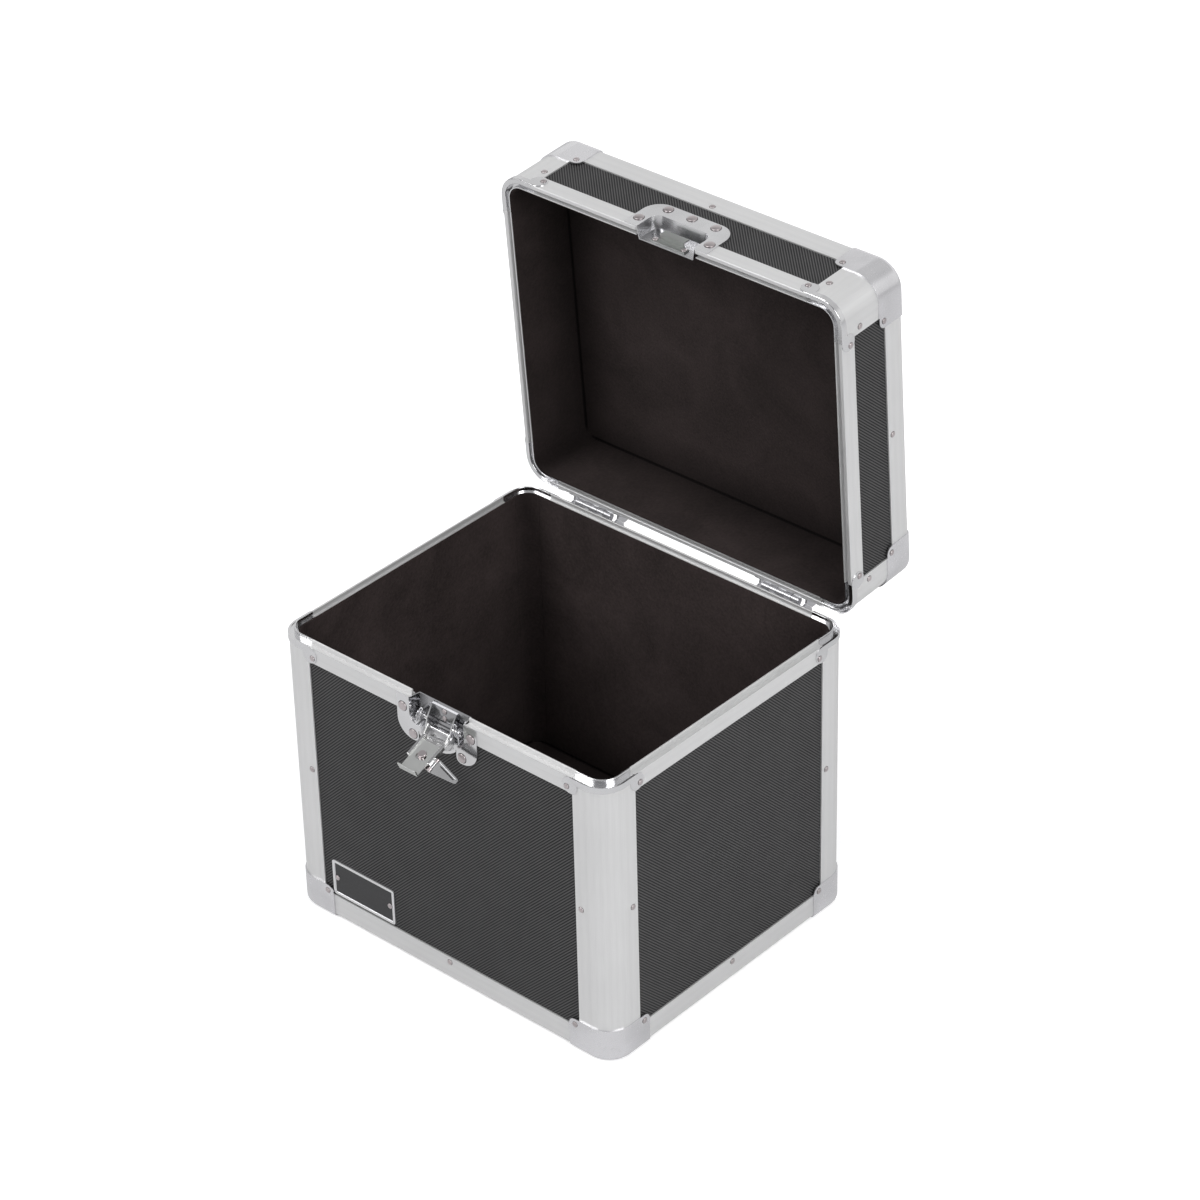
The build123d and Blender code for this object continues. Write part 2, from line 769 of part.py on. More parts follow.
# two torsion springs, each wound on a stud that stands out from the bracket's ear
with BuildPart() as spring_pair:
    for side in (-1, 1):
        inner_end = side * (bracket_half_width + latch_sheet)
        outer_end = side * (spring_centre + spring_wire * spring_turns / 2 + play)
        with BuildSketch(ear_plane.offset(inner_end)) as stud:
            with Locations((spring_depth, -spring_drop)):
                Circle(spring_radius - spring_wire)
        extrude(stud.sketch, amount=outer_end - inner_end)
        with BuildSketch(Plane.XY.offset(-spring_depth)) as coil:
            for turn in range(spring_turns):
                along = side * spring_centre + (turn - (spring_turns - 1) / 2) * spring_wire
                with Locations((along, -spring_drop + spring_radius - spring_wire / 2)):
                    RegularPolygon(spring_wire / 2, 8)
            with Locations((side * spring_centre, -spring_drop + spring_radius - spring_wire)):
                Rectangle(spring_wire * (spring_turns - 1), spring_wire / 2,
                          align=(Align.CENTER, Align.MIN))
        coil_axis = Axis((0, -spring_drop, -spring_depth), (1, 0, 0))
        revolve(coil.sketch, axis=coil_axis)

with BuildPart() as latch_springs:
    add(spring_pair.part.moved(base_dish_place.location))

# ---------------------------------------------------------------- latch carriage
# its own frame: x across, y from the pivot towards the hook's lip, z out of the front
pivot = (0, -depth / 2 + pivot_depth, rim_plane - pivot_drop)
latch_closed = Plane(pivot, x_dir=(1, 0, 0), z_dir=(0, -1, 0))
latch = swung(latch_closed, pivot, latch_open_angle)
carriage_front = carriage_back + latch_sheet
hook_front = carriage_back - sliding_gap
hook_back = hook_front - latch_sheet
lip_back = hook_back - sliding_gap - latch_sheet
cheek_plane = Plane((0, 0, 0), x_dir=(0, 1, 0), z_dir=(1, 0, 0))


def flat(points, low, high, mode=Mode.ADD):
    """A flat piece lying across the carriage, between two heights."""
    with BuildSketch(Plane.XY.offset(low)) as outline:
        with BuildLine():
            Polyline(*points, close=True)
        make_face()
    extrude(outline.sketch, amount=high - low, mode=mode)


with BuildPart() as carriage:
    flat(block(-carriage_half_width, carriage_half_width, carriage_start, carriage_end),
         carriage_back, carriage_front)
    for side in (-carriage_half_width, carriage_half_width - latch_sheet):
        with BuildSketch(cheek_plane.offset(side)) as cheek:
            Circle(ear_radius)
            with Locations((carriage_start, lip_back)):
                Rectangle(latch_sheet, carriage_front - lip_back, align=(Align.MIN, Align.MIN))
            make_hull()
            with Locations((carriage_start, lip_back)):
                Rectangle(carriage_end - carriage_start, carriage_front - lip_back,
                          align=(Align.MIN, Align.MIN))
            Circle(pivot_radius + fit_clearance, mode=Mode.SUBTRACT)
        extrude(cheek.sketch, amount=latch_sheet)
    for inner, outer in ((cheek_lip - carriage_half_width, -carriage_half_width),
                         (carriage_half_width - cheek_lip, carriage_half_width)):
        flat(block(inner, outer, carriage_start, carriage_end), lip_back, lip_back + latch_sheet)
    with BuildSketch(Plane.XY.offset(carriage_back)) as holes:
        with Locations((0, spindle_height)):
            Circle(spindle_radius + fit_clearance)
        with Locations((-carriage_slot_reach, carriage_slot_height),
                       (carriage_slot_reach, carriage_slot_height)):
            SlotOverall(carriage_slot_length, carriage_slot_width)
    extrude(holes.sketch, amount=latch_sheet, mode=Mode.SUBTRACT)

with BuildPart() as latch_carriage:
    add(carriage.part.moved(latch.location))

# hook plate: slides on the carriage's back, driven by the cam in its cross slot
cam_rest = spindle_height + hook_travel / 2

with BuildPart() as hook:
    flat([(-hook_half_width, hook_start), (hook_half_width, hook_start), (hook_half_width, hook_shoulder),
          (hook_neck_half_width, hook_shoulder + hook_shoulder_run), (hook_neck_half_width, hook_end),
          (-hook_neck_half_width, hook_end), (-hook_neck_half_width, hook_shoulder + hook_shoulder_run),
          (-hook_half_width, hook_shoulder)], hook_back, hook_front)
    flat(block(-hook_neck_half_width, hook_neck_half_width, hook_end - latch_sheet, hook_end),
         hook_lip_back, hook_back)
    with BuildSketch(Plane.XY.offset(hook_back)) as cam_slot:
        with Locations((0, cam_rest)):
            slot_height = 2 * (cam_radius + cam_slot_clearance)
            SlotOverall(slot_height + hook_travel, slot_height)
    extrude(cam_slot.sketch, amount=latch_sheet, mode=Mode.SUBTRACT)

with BuildPart() as latch_hook:
    add(hook.part.moved(latch.location))

# spindle: head behind the hook, cam in its slot, shaft in the carriage and the wing's seat in front
seat_back = carriage_front + 2 * sliding_gap
wing_middle = (wing_low + wing_high) / 2
knuckle_plane = Plane((wing_hinge_reach, 0, wing_hinge_height), x_dir=(1, 0, 0), z_dir=(0, 1, 0))

with BuildPart() as spindle:
    with Locations((0, spindle_height, hook_back - sliding_gap - spindle_head_height)):
        Cylinder(spindle_head, spindle_head_height, align=(Align.CENTER, Align.CENTER, Align.MIN))
    fillet(spindle.edges().group_by(Axis.Z)[0], radius=spindle_head_round)
    with Locations((0, cam_rest, hook_back - sliding_gap)):
        Cylinder(cam_radius, latch_sheet + 1.5 * sliding_gap, align=(Align.CENTER, Align.CENTER, Align.MIN))
    with Locations((0, spindle_height, hook_front + sliding_gap / 4)):
        Cylinder(spindle_radius, seat_back - hook_front - sliding_gap / 4,
                 align=(Align.CENTER, Align.CENTER, Align.MIN))
    with BuildSketch(Plane.XY.offset(seat_back)) as seat:
        with Locations((0, spindle_height)):
            Circle(wing_seat_radius)
        with Locations((wing_hinge_reach - wing_knuckle, wing_middle)):
            Rectangle(2 * wing_knuckle, wing_high - wing_low, align=(Align.CENTER, Align.CENTER))
        make_hull()
    extrude(seat.sketch, amount=latch_sheet)
    for start in (wing_low, wing_high - wing_knuckle_length):
        with BuildSketch(knuckle_plane.offset(start)) as knuckle:
            Circle(wing_knuckle)
            with Locations((-wing_knuckle, 0)):
                Rectangle(wing_knuckle, wing_hinge_height - seat_back, align=(Align.MIN, Align.MIN))
            Circle(wing_pin, mode=Mode.SUBTRACT)
        extrude(knuckle.sketch, amount=wing_knuckle_length)
    with BuildSketch(knuckle_plane.offset(wing_low + wing_knuckle_length)) as gap:
        Circle(wing_knuckle + play)
    extrude(gap.sketch, amount=wing_high - wing_low - 2 * wing_knuckle_length, mode=Mode.SUBTRACT)

with BuildPart() as latch_spindle:
    add(spindle.part.moved(latch.location))

with BuildPart() as wing_axle:
    with BuildSketch(knuckle_plane.offset(wing_low)) as axle:
        Circle(wing_pin)
    extrude(axle.sketch, amount=wing_high - wing_low)

with BuildPart() as latch_wing_pin:
    add(wing_axle.part.moved(latch.location))

# folding wing, drawn flat about its own hinge line and drooping from it
wing_frame = Plane((wing_hinge_reach, 0, wing_hinge_height)).rotated((0, -wing_droop, 0))
wing_root = wing_knuckle + play
tip_reach = wing_tip[0] - wing_hinge_reach
barrel_low = wing_low + wing_knuckle_length + play
barrel_high = wing_high - wing_knuckle_length - play

with BuildPart() as wing:
    with BuildSketch(Plane.XY.offset(-latch_sheet / 2)) as blade:
        with Locations((wing_root, wing_middle)):
            Rectangle(latch_sheet, wing_high - wing_low, align=(Align.MIN, Align.CENTER))
        with Locations((tip_reach, wing_tip[1])):
            Circle(wing_tip_radius)
        make_hull()
        with BuildLine(mode=Mode.PRIVATE) as slit_line:
            Line((wing_root + wing_slit_inset, wing_low + wing_slit_inset),
                 (tip_reach - wing_slit_end, wing_tip[1]))
        SlotCenterPoint(slit_line.line @ 0.5, slit_line.line @ 1, wing_slit, mode=Mode.SUBTRACT)
    extrude(blade.sketch, amount=latch_sheet)
    with BuildSketch(Plane.XY.offset(-latch_sheet / 2 - wing_rim_height)) as rim_bar:
        with Locations((wing_root + wing_rim / 2, wing_low + wing_rim / 2),
                       (tip_reach, wing_tip[1] - wing_tip_radius + wing_rim / 2)):
            Circle(wing_rim / 2)
        make_hull()
    extrude(rim_bar.sketch, amount=wing_rim_height)
    with BuildSketch(Plane((0, barrel_low, 0), x_dir=(1, 0, 0), z_dir=(0, 1, 0))) as barrel:
        Circle(wing_knuckle)
        with Locations((0, 0)):
            Rectangle(wing_root + latch_sheet / 2, latch_sheet, align=(Align.MIN, Align.CENTER))
        Circle(wing_pin + fit_clearance, mode=Mode.SUBTRACT)
    extrude(barrel.sketch, amount=barrel_high - barrel_low)

with BuildPart() as latch_wing:
    add(wing.part.moved(placed(latch, wing_frame).location))

# ---------------------------------------------------------------- keeper
keeper_edge_drop = hook_end - latch_sheet - hook_travel - pivot_drop - rim_gap - keeper_hook_gap
foot_face = dish_floor - latch_sheet

with BuildPart() as keeper:
    side_section(keeper_half_width, [
        (foot_face, -keeper_foot_drop), (dish_floor, -keeper_foot_drop),
        (dish_floor, -keeper_riser_drop - latch_sheet),
        (keeper_depth + latch_sheet, -keeper_riser_drop - latch_sheet),
        (keeper_depth + latch_sheet, -keeper_edge_drop), (keeper_depth, -keeper_edge_drop),
        (keeper_depth, -keeper_riser_drop), (foot_face, -keeper_riser_drop)])
    side_section(keeper_foot_half_width, block(
        foot_face, dish_floor, -keeper_riser_drop, -keeper_foot_drop))

with BuildPart() as catch_keeper:
    add(keeper.part.moved(lid_dish_place.location))

with BuildPart() as catch_keeper_rivets:
    keeper_rivet_side = (keeper_half_width + keeper_foot_half_width) / 2
    copies(rivet, lid_dish_place, [Plane((side, -(keeper_foot_drop + keeper_riser_drop) / 2, -foot_face))
                                   for side in (-keeper_rivet_side, keeper_rivet_side)])

# ---------------------------------------------------------------- stop hinges
knuckle_share = hinge_knuckle_run / 5
base_knuckles = [(-5, -3), (-1, 1), (3, 5)]
lid_knuckles = [(-3, -1), (1, 3)]
stop_slope = tan(radians(lid_open_angle / 2))
stop_offset = hinge_stop_gap / 2 / cos(radians(lid_open_angle / 2))


def hinge_leaf_on(frame, rim, centre, knuckles, trim):
    """A leaf on the back wall with its rolled knuckles and two bevelled stop cheeks."""
    axis_height = rim + rim_gap / 2
    foot = rim - hinge_leaf_height
    bar(frame, back, centre - hinge_half_width, centre + hinge_half_width, [
        (-hinge_leaf, foot), (skin, foot), (skin, rim - rim_band), (0, rim - rim_band),
        (0, rim - hinge_rim_gap), (-hinge_leaf, rim - hinge_rim_gap)])
    for first, last in knuckles:
        start = centre + first * knuckle_share + trim
        end = centre + last * knuckle_share - trim
        with BuildSketch(section_plane(frame, back, start)) as knuckle:
            with Locations((-hinge_axis_reach, axis_height)):
                Circle(hinge_knuckle)
            with Locations((-hinge_leaf, axis_height - 3 * hinge_knuckle)):
                Rectangle(hinge_leaf, hinge_knuckle, align=(Align.MIN, Align.MIN))
            make_hull()
        extrude(knuckle.sketch, amount=end - start)
        with BuildSketch(section_plane(frame, back, start)) as bore:
            with Locations((-hinge_axis_reach, axis_height)):
                Circle(hinge_pin + fit_clearance)
        extrude(bore.sketch, amount=end - start, mode=Mode.SUBTRACT)
    near = hinge_cheek_root
    far = hinge_cheek_reach
    for side in (-1, 1):
        start = centre + side * hinge_cheek_start - (hinge_cheek if side < 0 else 0)
        bar(frame, back, start, start + hinge_cheek, [
            (-hinge_leaf, axis_height - 2 * near),
            (-hinge_axis_reach - near, axis_height - near * stop_slope - stop_offset),
            (-hinge_axis_reach - far, axis_height - far * stop_slope - stop_offset),
            (-hinge_axis_reach - far, axis_height - far * stop_slope - hinge_axis_reach),
            (-hinge_leaf, foot + hinge_axis_reach)])


with BuildPart() as hinge_base_leaves:
    for centre in (-hinge_place, hinge_place):
        hinge_leaf_on(base, base_height, centre, base_knuckles, 0)

with BuildPart() as hinge_lid_leaves:
    for centre in (-hinge_place, hinge_place):
        hinge_leaf_on(lid, lid_height, centre, lid_knuckles, play)

with BuildPart() as hinge_pins:
    for centre in (-hinge_place, hinge_place):
        with BuildSketch(section_plane(base, back, centre - hinge_knuckle_run - play)) as pin_end:
            with Locations((-hinge_axis_reach, base_height + rim_gap / 2)):
                Circle(hinge_pin)
        extrude(pin_end.sketch, amount=2 * (hinge_knuckle_run + play))


def hinge_spots(rim):
    """Two rivets on each leaf."""
    spots = []
    for centre in (-hinge_place, hinge_place):
        for side in (-1, 1):
            spot = (centre + side * hinge_half_width / 2, rim - hinge_rivet_drop, hinge_leaf)
            spots.append(placed(back, Plane(spot)))
    return spots


with BuildPart() as hinge_base_rivets:
    copies(rivet, base, hinge_spots(base_height))

with BuildPart() as hinge_lid_rivets:
    copies(rivet, lid, hinge_spots(lid_height))

# ---------------------------------------------------------------- handle
# its frame stands on the lid's top panel: x across, y towards the hinges, z off the panel
handle_place = placed(lid, Plane((0, 0, skin), x_dir=(-1, 0, 0), z_dir=(0, 0, -1)))
ear_gap = handle_eye_half + play

with BuildPart() as handle_bracket:
    with BuildSketch(Plane.XY) as foot:
        RectangleRounded(bracket_foot_width, bracket_foot_depth, bracket_foot_corner)
    extrude(foot.sketch, amount=bracket_plate)
    for side in (-ear_gap - bracket_ear, ear_gap):
        with BuildSketch(Plane((side, 0, 0), x_dir=(0, 1, 0), z_dir=(1, 0, 0))) as lug:
            with Locations((0, handle_pivot_height)):
                Circle(handle_eye)
            with Locations((0, 0)):
                Rectangle(3 * handle_eye, bracket_plate, align=(Align.CENTER, Align.MIN))
            make_hull()
            with Locations((0, handle_pivot_height)):
                Circle(handle_pin, mode=Mode.SUBTRACT)
        extrude(lug.sketch, amount=bracket_ear)

handle_ends = [Plane((-handle_half_width, 0, 0)), Plane((handle_half_width, 0, 0))]

with BuildPart() as handle_brackets:
    copies(handle_bracket, handle_place, handle_ends)

with BuildPart() as handle_axle:
    axle_end = (-ear_gap - 2 * bracket_ear, 0, 0)
    with BuildSketch(Plane(axle_end, x_dir=(0, 1, 0), z_dir=(1, 0, 0))) as axle:
        with Locations((0, handle_pivot_height)):
            Circle(handle_pin)
    extrude(axle.sketch, amount=2 * (ear_gap + 2 * bracket_ear))

with BuildPart() as handle_pins:
    copies(handle_axle, handle_place, handle_ends)

with BuildPart() as handle_rivets:
    rivet_side = bracket_foot_width / 2 - rivet_head - bracket_rivet_margin
    rivet_rise = bracket_foot_depth / 2 - rivet_head - bracket_rivet_margin
    for centre in (-handle_half_width, handle_half_width):
        copies(rivet, handle_place, [Plane((centre + side * rivet_side, rise * rivet_rise, bracket_plate))
                                     for side in (-1, 1) for rise in (-1, 1)])

with BuildPart() as bail:
    with BuildLine(Plane.XY.offset(handle_pivot_height)) as bail_path:
        FilletPolyline((-handle_half_width, 0), (-handle_half_width, handle_reach),
                       (handle_half_width, handle_reach), (handle_half_width, 0), radius=handle_bend)
    rod_start = (-handle_half_width, 0, handle_pivot_height)
    with BuildSketch(Plane(rod_start, x_dir=(1, 0, 0), z_dir=(0, 1, 0))) as rod:
        Circle(handle_rod)
    sweep(rod.sketch, path=bail_path.line)
    for centre in (-handle_half_width, handle_half_width):
        eye_end = (centre - handle_eye_half, 0, handle_pivot_height)
        eye_plane = Plane(eye_end, x_dir=(0, 1, 0), z_dir=(1, 0, 0))
        with BuildSketch(eye_plane) as eye:
            Circle(handle_eye)
        extrude(eye.sketch, amount=2 * handle_eye_half)
        with BuildSketch(eye_plane) as eye_bore:
            Circle(handle_pin + fit_clearance)
        extrude(eye_bore.sketch, amount=2 * handle_eye_half, mode=Mode.SUBTRACT)

with BuildPart() as handle_bail:
    add(bail.part.moved(handle_place.location))

with BuildPart() as sleeve:
    with BuildSketch(Plane.XY.offset(handle_pivot_height)) as half_grip:
        with BuildLine():
            Line((-grip_length / 2, handle_reach + handle_rod),
                 (grip_length / 2, handle_reach + handle_rod))
            Line((grip_length / 2, handle_reach + handle_rod), (grip_length / 2, handle_reach + grip_end))
            ThreePointArc((grip_length / 2, handle_reach + grip_end), (0, handle_reach + grip_radius),
                          (-grip_length / 2, handle_reach + grip_end))
            Line((-grip_length / 2, handle_reach + grip_end), (-grip_length / 2, handle_reach + handle_rod))
        make_face()
    revolve(half_grip.sketch, axis=Axis((0, handle_reach, handle_pivot_height), (1, 0, 0)))

with BuildPart() as handle_grip:
    add(sleeve.part.moved(handle_place.location))

# ---------------------------------------------------------------- blank nameplate
plate_side = -width / 2 + corner_leg + plate_leg_gap + plate_width / 2
plate_rise = edge_leg + plate_edge_gap + plate_height / 2
plate_place = placed(base, placed(front, Plane((plate_side, plate_rise, -skin))))
plate_rivet_inset = plate_border + plate_rivet_margin + rivet_head

with BuildPart() as tag:
    with BuildSketch(Plane.XY) as tag_face:
        RectangleRounded(plate_width, plate_height, plate_corner)
    extrude(tag_face.sketch, amount=plate_border_height)
    with BuildSketch(Plane.XY.offset(plate_sheet)) as tag_field:
        RectangleRounded(plate_width - 2 * plate_border, plate_height - 2 * plate_border,
                         plate_corner / 2)
    extrude(tag_field.sketch, amount=plate_border_height - plate_sheet, mode=Mode.SUBTRACT)

with BuildPart() as nameplate:
    add(tag.part.moved(plate_place.location))

with BuildPart() as nameplate_rivets:
    copies(rivet, plate_place, [Plane((side * (plate_width / 2 - plate_rivet_inset), 0, plate_sheet))
                                for side in (-1, 1)])

# ---------------------------------------------------------------- output
pieces = {
    "base_front_panel": base_front_panel, "base_back_panel": base_back_panel,
    "base_side_panels": base_side_panels, "base_floor_panel": base_floor_panel,
    "base_wall_lining": base_wall_lining, "base_floor_lining": base_floor_lining,
    "base_corner_lining": base_corner_lining, "base_corner_posts": base_corner_posts,
    "base_corner_cores": base_corner_cores,
    "base_edge_extrusions": base_edge_extrusions, "base_rim_extrusions": base_rim_extrusions,
    "base_rim_corners": base_rim_corners, "base_steel_corners": base_steel_corners,
    "base_rivets": base_rivets, "nameplate": nameplate, "nameplate_rivets": nameplate_rivets,
    "lid_front_panel": lid_front_panel, "lid_back_panel": lid_back_panel,
    "lid_side_panels": lid_side_panels, "lid_top_panel": lid_top_panel,
    "lid_wall_lining": lid_wall_lining, "lid_top_lining": lid_top_lining,
    "lid_corner_lining": lid_corner_lining, "lid_corner_posts": lid_corner_posts,
    "lid_corner_cores": lid_corner_cores,
    "lid_edge_extrusions": lid_edge_extrusions, "lid_rim_extrusions": lid_rim_extrusions,
    "lid_rim_corners": lid_rim_corners, "lid_steel_corners": lid_steel_corners,
    "lid_rivets": lid_rivets,
    "latch_dish": latch_dish, "latch_dish_rivets": latch_dish_rivets,
    "latch_bracket": latch_bracket, "latch_bracket_rivets": latch_bracket_rivets,
    "latch_pin": latch_pin, "latch_springs": latch_springs,
    "latch_carriage": latch_carriage, "latch_hook": latch_hook, "latch_spindle": latch_spindle,
    "latch_wing": latch_wing, "latch_wing_pin": latch_wing_pin,
    "catch_dish": catch_dish, "catch_dish_rivets": catch_dish_rivets,
    "catch_keeper": catch_keeper, "catch_keeper_rivets": catch_keeper_rivets,
    "hinge_base_leaves": hinge_base_leaves, "hinge_lid_leaves": hinge_lid_leaves,
    "hinge_pins": hinge_pins, "hinge_base_rivets": hinge_base_rivets,
    "hinge_lid_rivets": hinge_lid_rivets,
    "handle_brackets": handle_brackets, "handle_pins": handle_pins, "handle_rivets": handle_rivets,
    "handle_bail": handle_bail, "handle_grip": handle_grip,
}

for name, piece in pieces.items():
    piece.part.label = name
    export_step(piece.part, "parts/" + name + ".step")
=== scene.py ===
import json
from math import cos, pi, radians, sin, tau

import bmesh
import bpy
import numpy as np
from mathutils import Matrix, Vector


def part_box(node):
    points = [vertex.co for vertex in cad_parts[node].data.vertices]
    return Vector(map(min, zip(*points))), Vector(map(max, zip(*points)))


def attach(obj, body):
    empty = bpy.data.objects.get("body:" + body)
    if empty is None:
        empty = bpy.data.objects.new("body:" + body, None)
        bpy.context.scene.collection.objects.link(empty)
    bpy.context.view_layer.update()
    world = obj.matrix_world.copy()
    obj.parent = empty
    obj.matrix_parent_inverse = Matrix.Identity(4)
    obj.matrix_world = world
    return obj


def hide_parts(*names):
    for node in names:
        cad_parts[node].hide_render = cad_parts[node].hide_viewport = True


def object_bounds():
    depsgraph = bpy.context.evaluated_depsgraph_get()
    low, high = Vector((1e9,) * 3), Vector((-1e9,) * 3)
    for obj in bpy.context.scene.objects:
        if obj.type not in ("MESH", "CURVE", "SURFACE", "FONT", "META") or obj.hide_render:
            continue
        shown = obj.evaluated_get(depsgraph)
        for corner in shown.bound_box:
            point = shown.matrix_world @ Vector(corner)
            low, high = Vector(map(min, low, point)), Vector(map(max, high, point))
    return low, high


# A record carrying case, standing open. Lengths are in metres.

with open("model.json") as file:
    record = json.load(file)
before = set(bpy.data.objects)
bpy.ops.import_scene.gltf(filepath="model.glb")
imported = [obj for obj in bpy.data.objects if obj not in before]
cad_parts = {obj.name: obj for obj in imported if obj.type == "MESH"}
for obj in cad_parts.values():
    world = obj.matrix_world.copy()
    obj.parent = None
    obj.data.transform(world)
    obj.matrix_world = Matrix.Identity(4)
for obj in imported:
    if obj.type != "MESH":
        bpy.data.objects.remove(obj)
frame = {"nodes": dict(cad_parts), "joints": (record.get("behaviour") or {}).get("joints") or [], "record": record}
cad_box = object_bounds()
nodes = frame["nodes"]
mm = 0.001

# ---------------------------------------------------------------- places taken from the frame
floor_height = cad_box[0][2]    # where the case's lowest point stands
lid_joint = next(joint for joint in frame["joints"] if joint["name"] == "lid_hinge")
lid_axis = Vector(lid_joint["pos_m"])
lid_shut_angle = radians(lid_joint["range_deg"][1])
bodies = frame["record"]["behaviour"]["bodies"]
body_of = {node: body for body, names in bodies.items() for node in names}


# ---------------------------------------------------------------- material tools
def new_material(name):
    """An empty Principled material and its node tree."""
    mat = bpy.data.materials.new(name)
    mat.use_nodes = True
    return mat, mat.node_tree, mat.node_tree.nodes["Principled BSDF"]


def put(tree, kind, settings=None, inputs=None):
    """A node with its settings and inputs: a socket is linked, anything else is set."""
    made = tree.nodes.new(kind)
    for key, value in (settings or {}).items():
        setattr(made, key, value)
    for key, value in (inputs or {}).items():
        if isinstance(value, bpy.types.NodeSocket):
            tree.links.new(value, made.inputs[key])
        else:
            made.inputs[key].default_value = value
    return made


def calc(tree, operation, first, second=0.0, third=0.0):
    """One Math node's output."""
    return put(tree, "ShaderNodeMath", {"operation": operation}, {0: first, 1: second, 2: third}).outputs[0]


def mixed(tree, parts):
    """The sum of values, each times its share."""
    (value, share), *rest = parts
    total = calc(tree, "MULTIPLY", value, share)
    for value, share in rest:
        total = calc(tree, "MULTIPLY_ADD", value, share, total)
    return total


def place_of(tree, on_lid=False):
    """The point's place in the row frame; on the lid, as if the lid were shut."""
    here = put(tree, "ShaderNodeTexCoord").outputs["Object"]
    if not on_lid:
        return here
    turn = put(tree, "ShaderNodeVectorRotate", {"rotation_type": "X_AXIS"},
               {"Vector": here, "Center": lid_axis, "Angle": lid_shut_angle})
    return turn.outputs[0]


def noise(tree, place, scale, detail=3.0, roughness=0.55, distortion=0.0):
    """A noise texture's value, scale in cells per metre."""
    made = put(tree, "ShaderNodeTexNoise", None, {"Vector": place, "Scale": scale, "Detail": detail,
                                                  "Roughness": roughness, "Distortion": distortion})
    return made.outputs["Fac"]


def stretched(tree, place, factors):
    """A place with its three axes scaled."""
    return put(tree, "ShaderNodeVectorMath", {"operation": "MULTIPLY"}, {0: place, 1: factors}).outputs[0]


def dot(tree, first, second):
    """The dot product of two vectors."""
    made = put(tree, "ShaderNodeVectorMath", {"operation": "DOT_PRODUCT"}, {0: first, 1: second})
    return made.outputs["Value"]


def blend(tree, factor, first, second):
    """A colour between two: the first where factor is 0, the second where it is 1."""
    made = put(tree, "ShaderNodeMix", {"data_type": "RGBA"}, {"Factor": factor, 6: first, 7: second})
    return made.outputs[2]


def ramp(tree, value, stops):
    """A colour ramp: stops are (position, colour)."""
    made = put(tree, "ShaderNodeValToRGB", None, {0: value})
    band = made.color_ramp
    while len(band.elements) < len(stops):
        band.elements.new(0.5)
    for element, (position, colour) in zip(band.elements, stops):
        element.position = position
        element.color = (*colour, 1.0)
    return made.outputs[0]


def remap(tree, value, low, high, to_low, to_high):
    """A value mapped from one span to another, clamped."""
    made = put(tree, "ShaderNodeMapRange", None, {0: value, 1: low, 2: high, 3: to_low, 4: to_high})
    return made.outputs[0]


def wave(tree, along, pitch):
    """A sine from 0 to 1 that repeats every pitch along a value in metres."""
    turns = calc(tree, "MULTIPLY", along, tau / pitch)
    return calc(tree, "MULTIPLY_ADD", calc(tree, "SINE", turns), 0.5, 0.5)


def bump(tree, shader, height, distance, strength=1.0):
    """A height in 0..1 times distance, as the shader's normal."""
    made = put(tree, "ShaderNodeBump", None, {"Height": height, "Distance": distance, "Strength": strength})
    tree.links.new(made.outputs[0], shader.inputs["Normal"])


def axis_value(tree, place, axis):
    """One coordinate of a place."""
    return put(tree, "ShaderNodeSeparateXYZ", None, {0: place}).outputs[axis]


def distance_to(tree, place, axis, level):
    """How far a place is from a level on one axis."""
    return calc(tree, "ABSOLUTE", calc(tree, "SUBTRACT", axis_value(tree, place, axis), level))


# ---------------------------------------------------------------- materials
laminate_pitch = 3.0 * mm
extrusion_pitch = 1.25 * mm
broad_pitch = 7.9 * mm      # the shallow waves under an extrusion's fine ribs
# The two lengths below size the painted shade at a lining's joints: the width of the dark line painted in each
# crease, and how far the painted darkening reaches.
crease_line_width = 2.4 * mm
seam_shadow = 40.0 * mm     # how far from a joint the lining grows lighter


def laminate(name, direction, on_lid=False):
    """Black laminate with fine diagonal ribs, a pitch apart along each axis that direction names."""
    mat, tree, shader = new_material(name)
    place = place_of(tree, on_lid)
    rib = wave(tree, dot(tree, place, direction), laminate_pitch)
    crest = remap(tree, rib, 0.30, 0.70, 0.0, 1.0)
    wear_and_painted_light = noise(tree, place, 38.0, 4.0)
    grain = noise(tree, place, 900.0, 2.0)
    # the grooves are coloured much darker than the crests, as painted shade in the grooves
    colour = ramp(tree, mixed(tree, [(crest, 0.82), (grain, 0.18)]), [
        (0.0, (0.006, 0.006, 0.0065)), (0.35, (0.012, 0.012, 0.0125)),
        (0.80, (0.056, 0.055, 0.056)), (1.0, (0.074, 0.073, 0.074))])
    tree.links.new(colour, shader.inputs["Base Color"])
    tree.links.new(remap(tree, wear_and_painted_light, 0.3, 0.7, 0.42, 0.54), shader.inputs["Roughness"])
    shader.inputs["Specular IOR Level"].default_value = 0.22
    bump(tree, shader, mixed(tree, [(crest, 1.0), (grain, 0.12)]), 0.18 * mm, 0.8)
    return mat


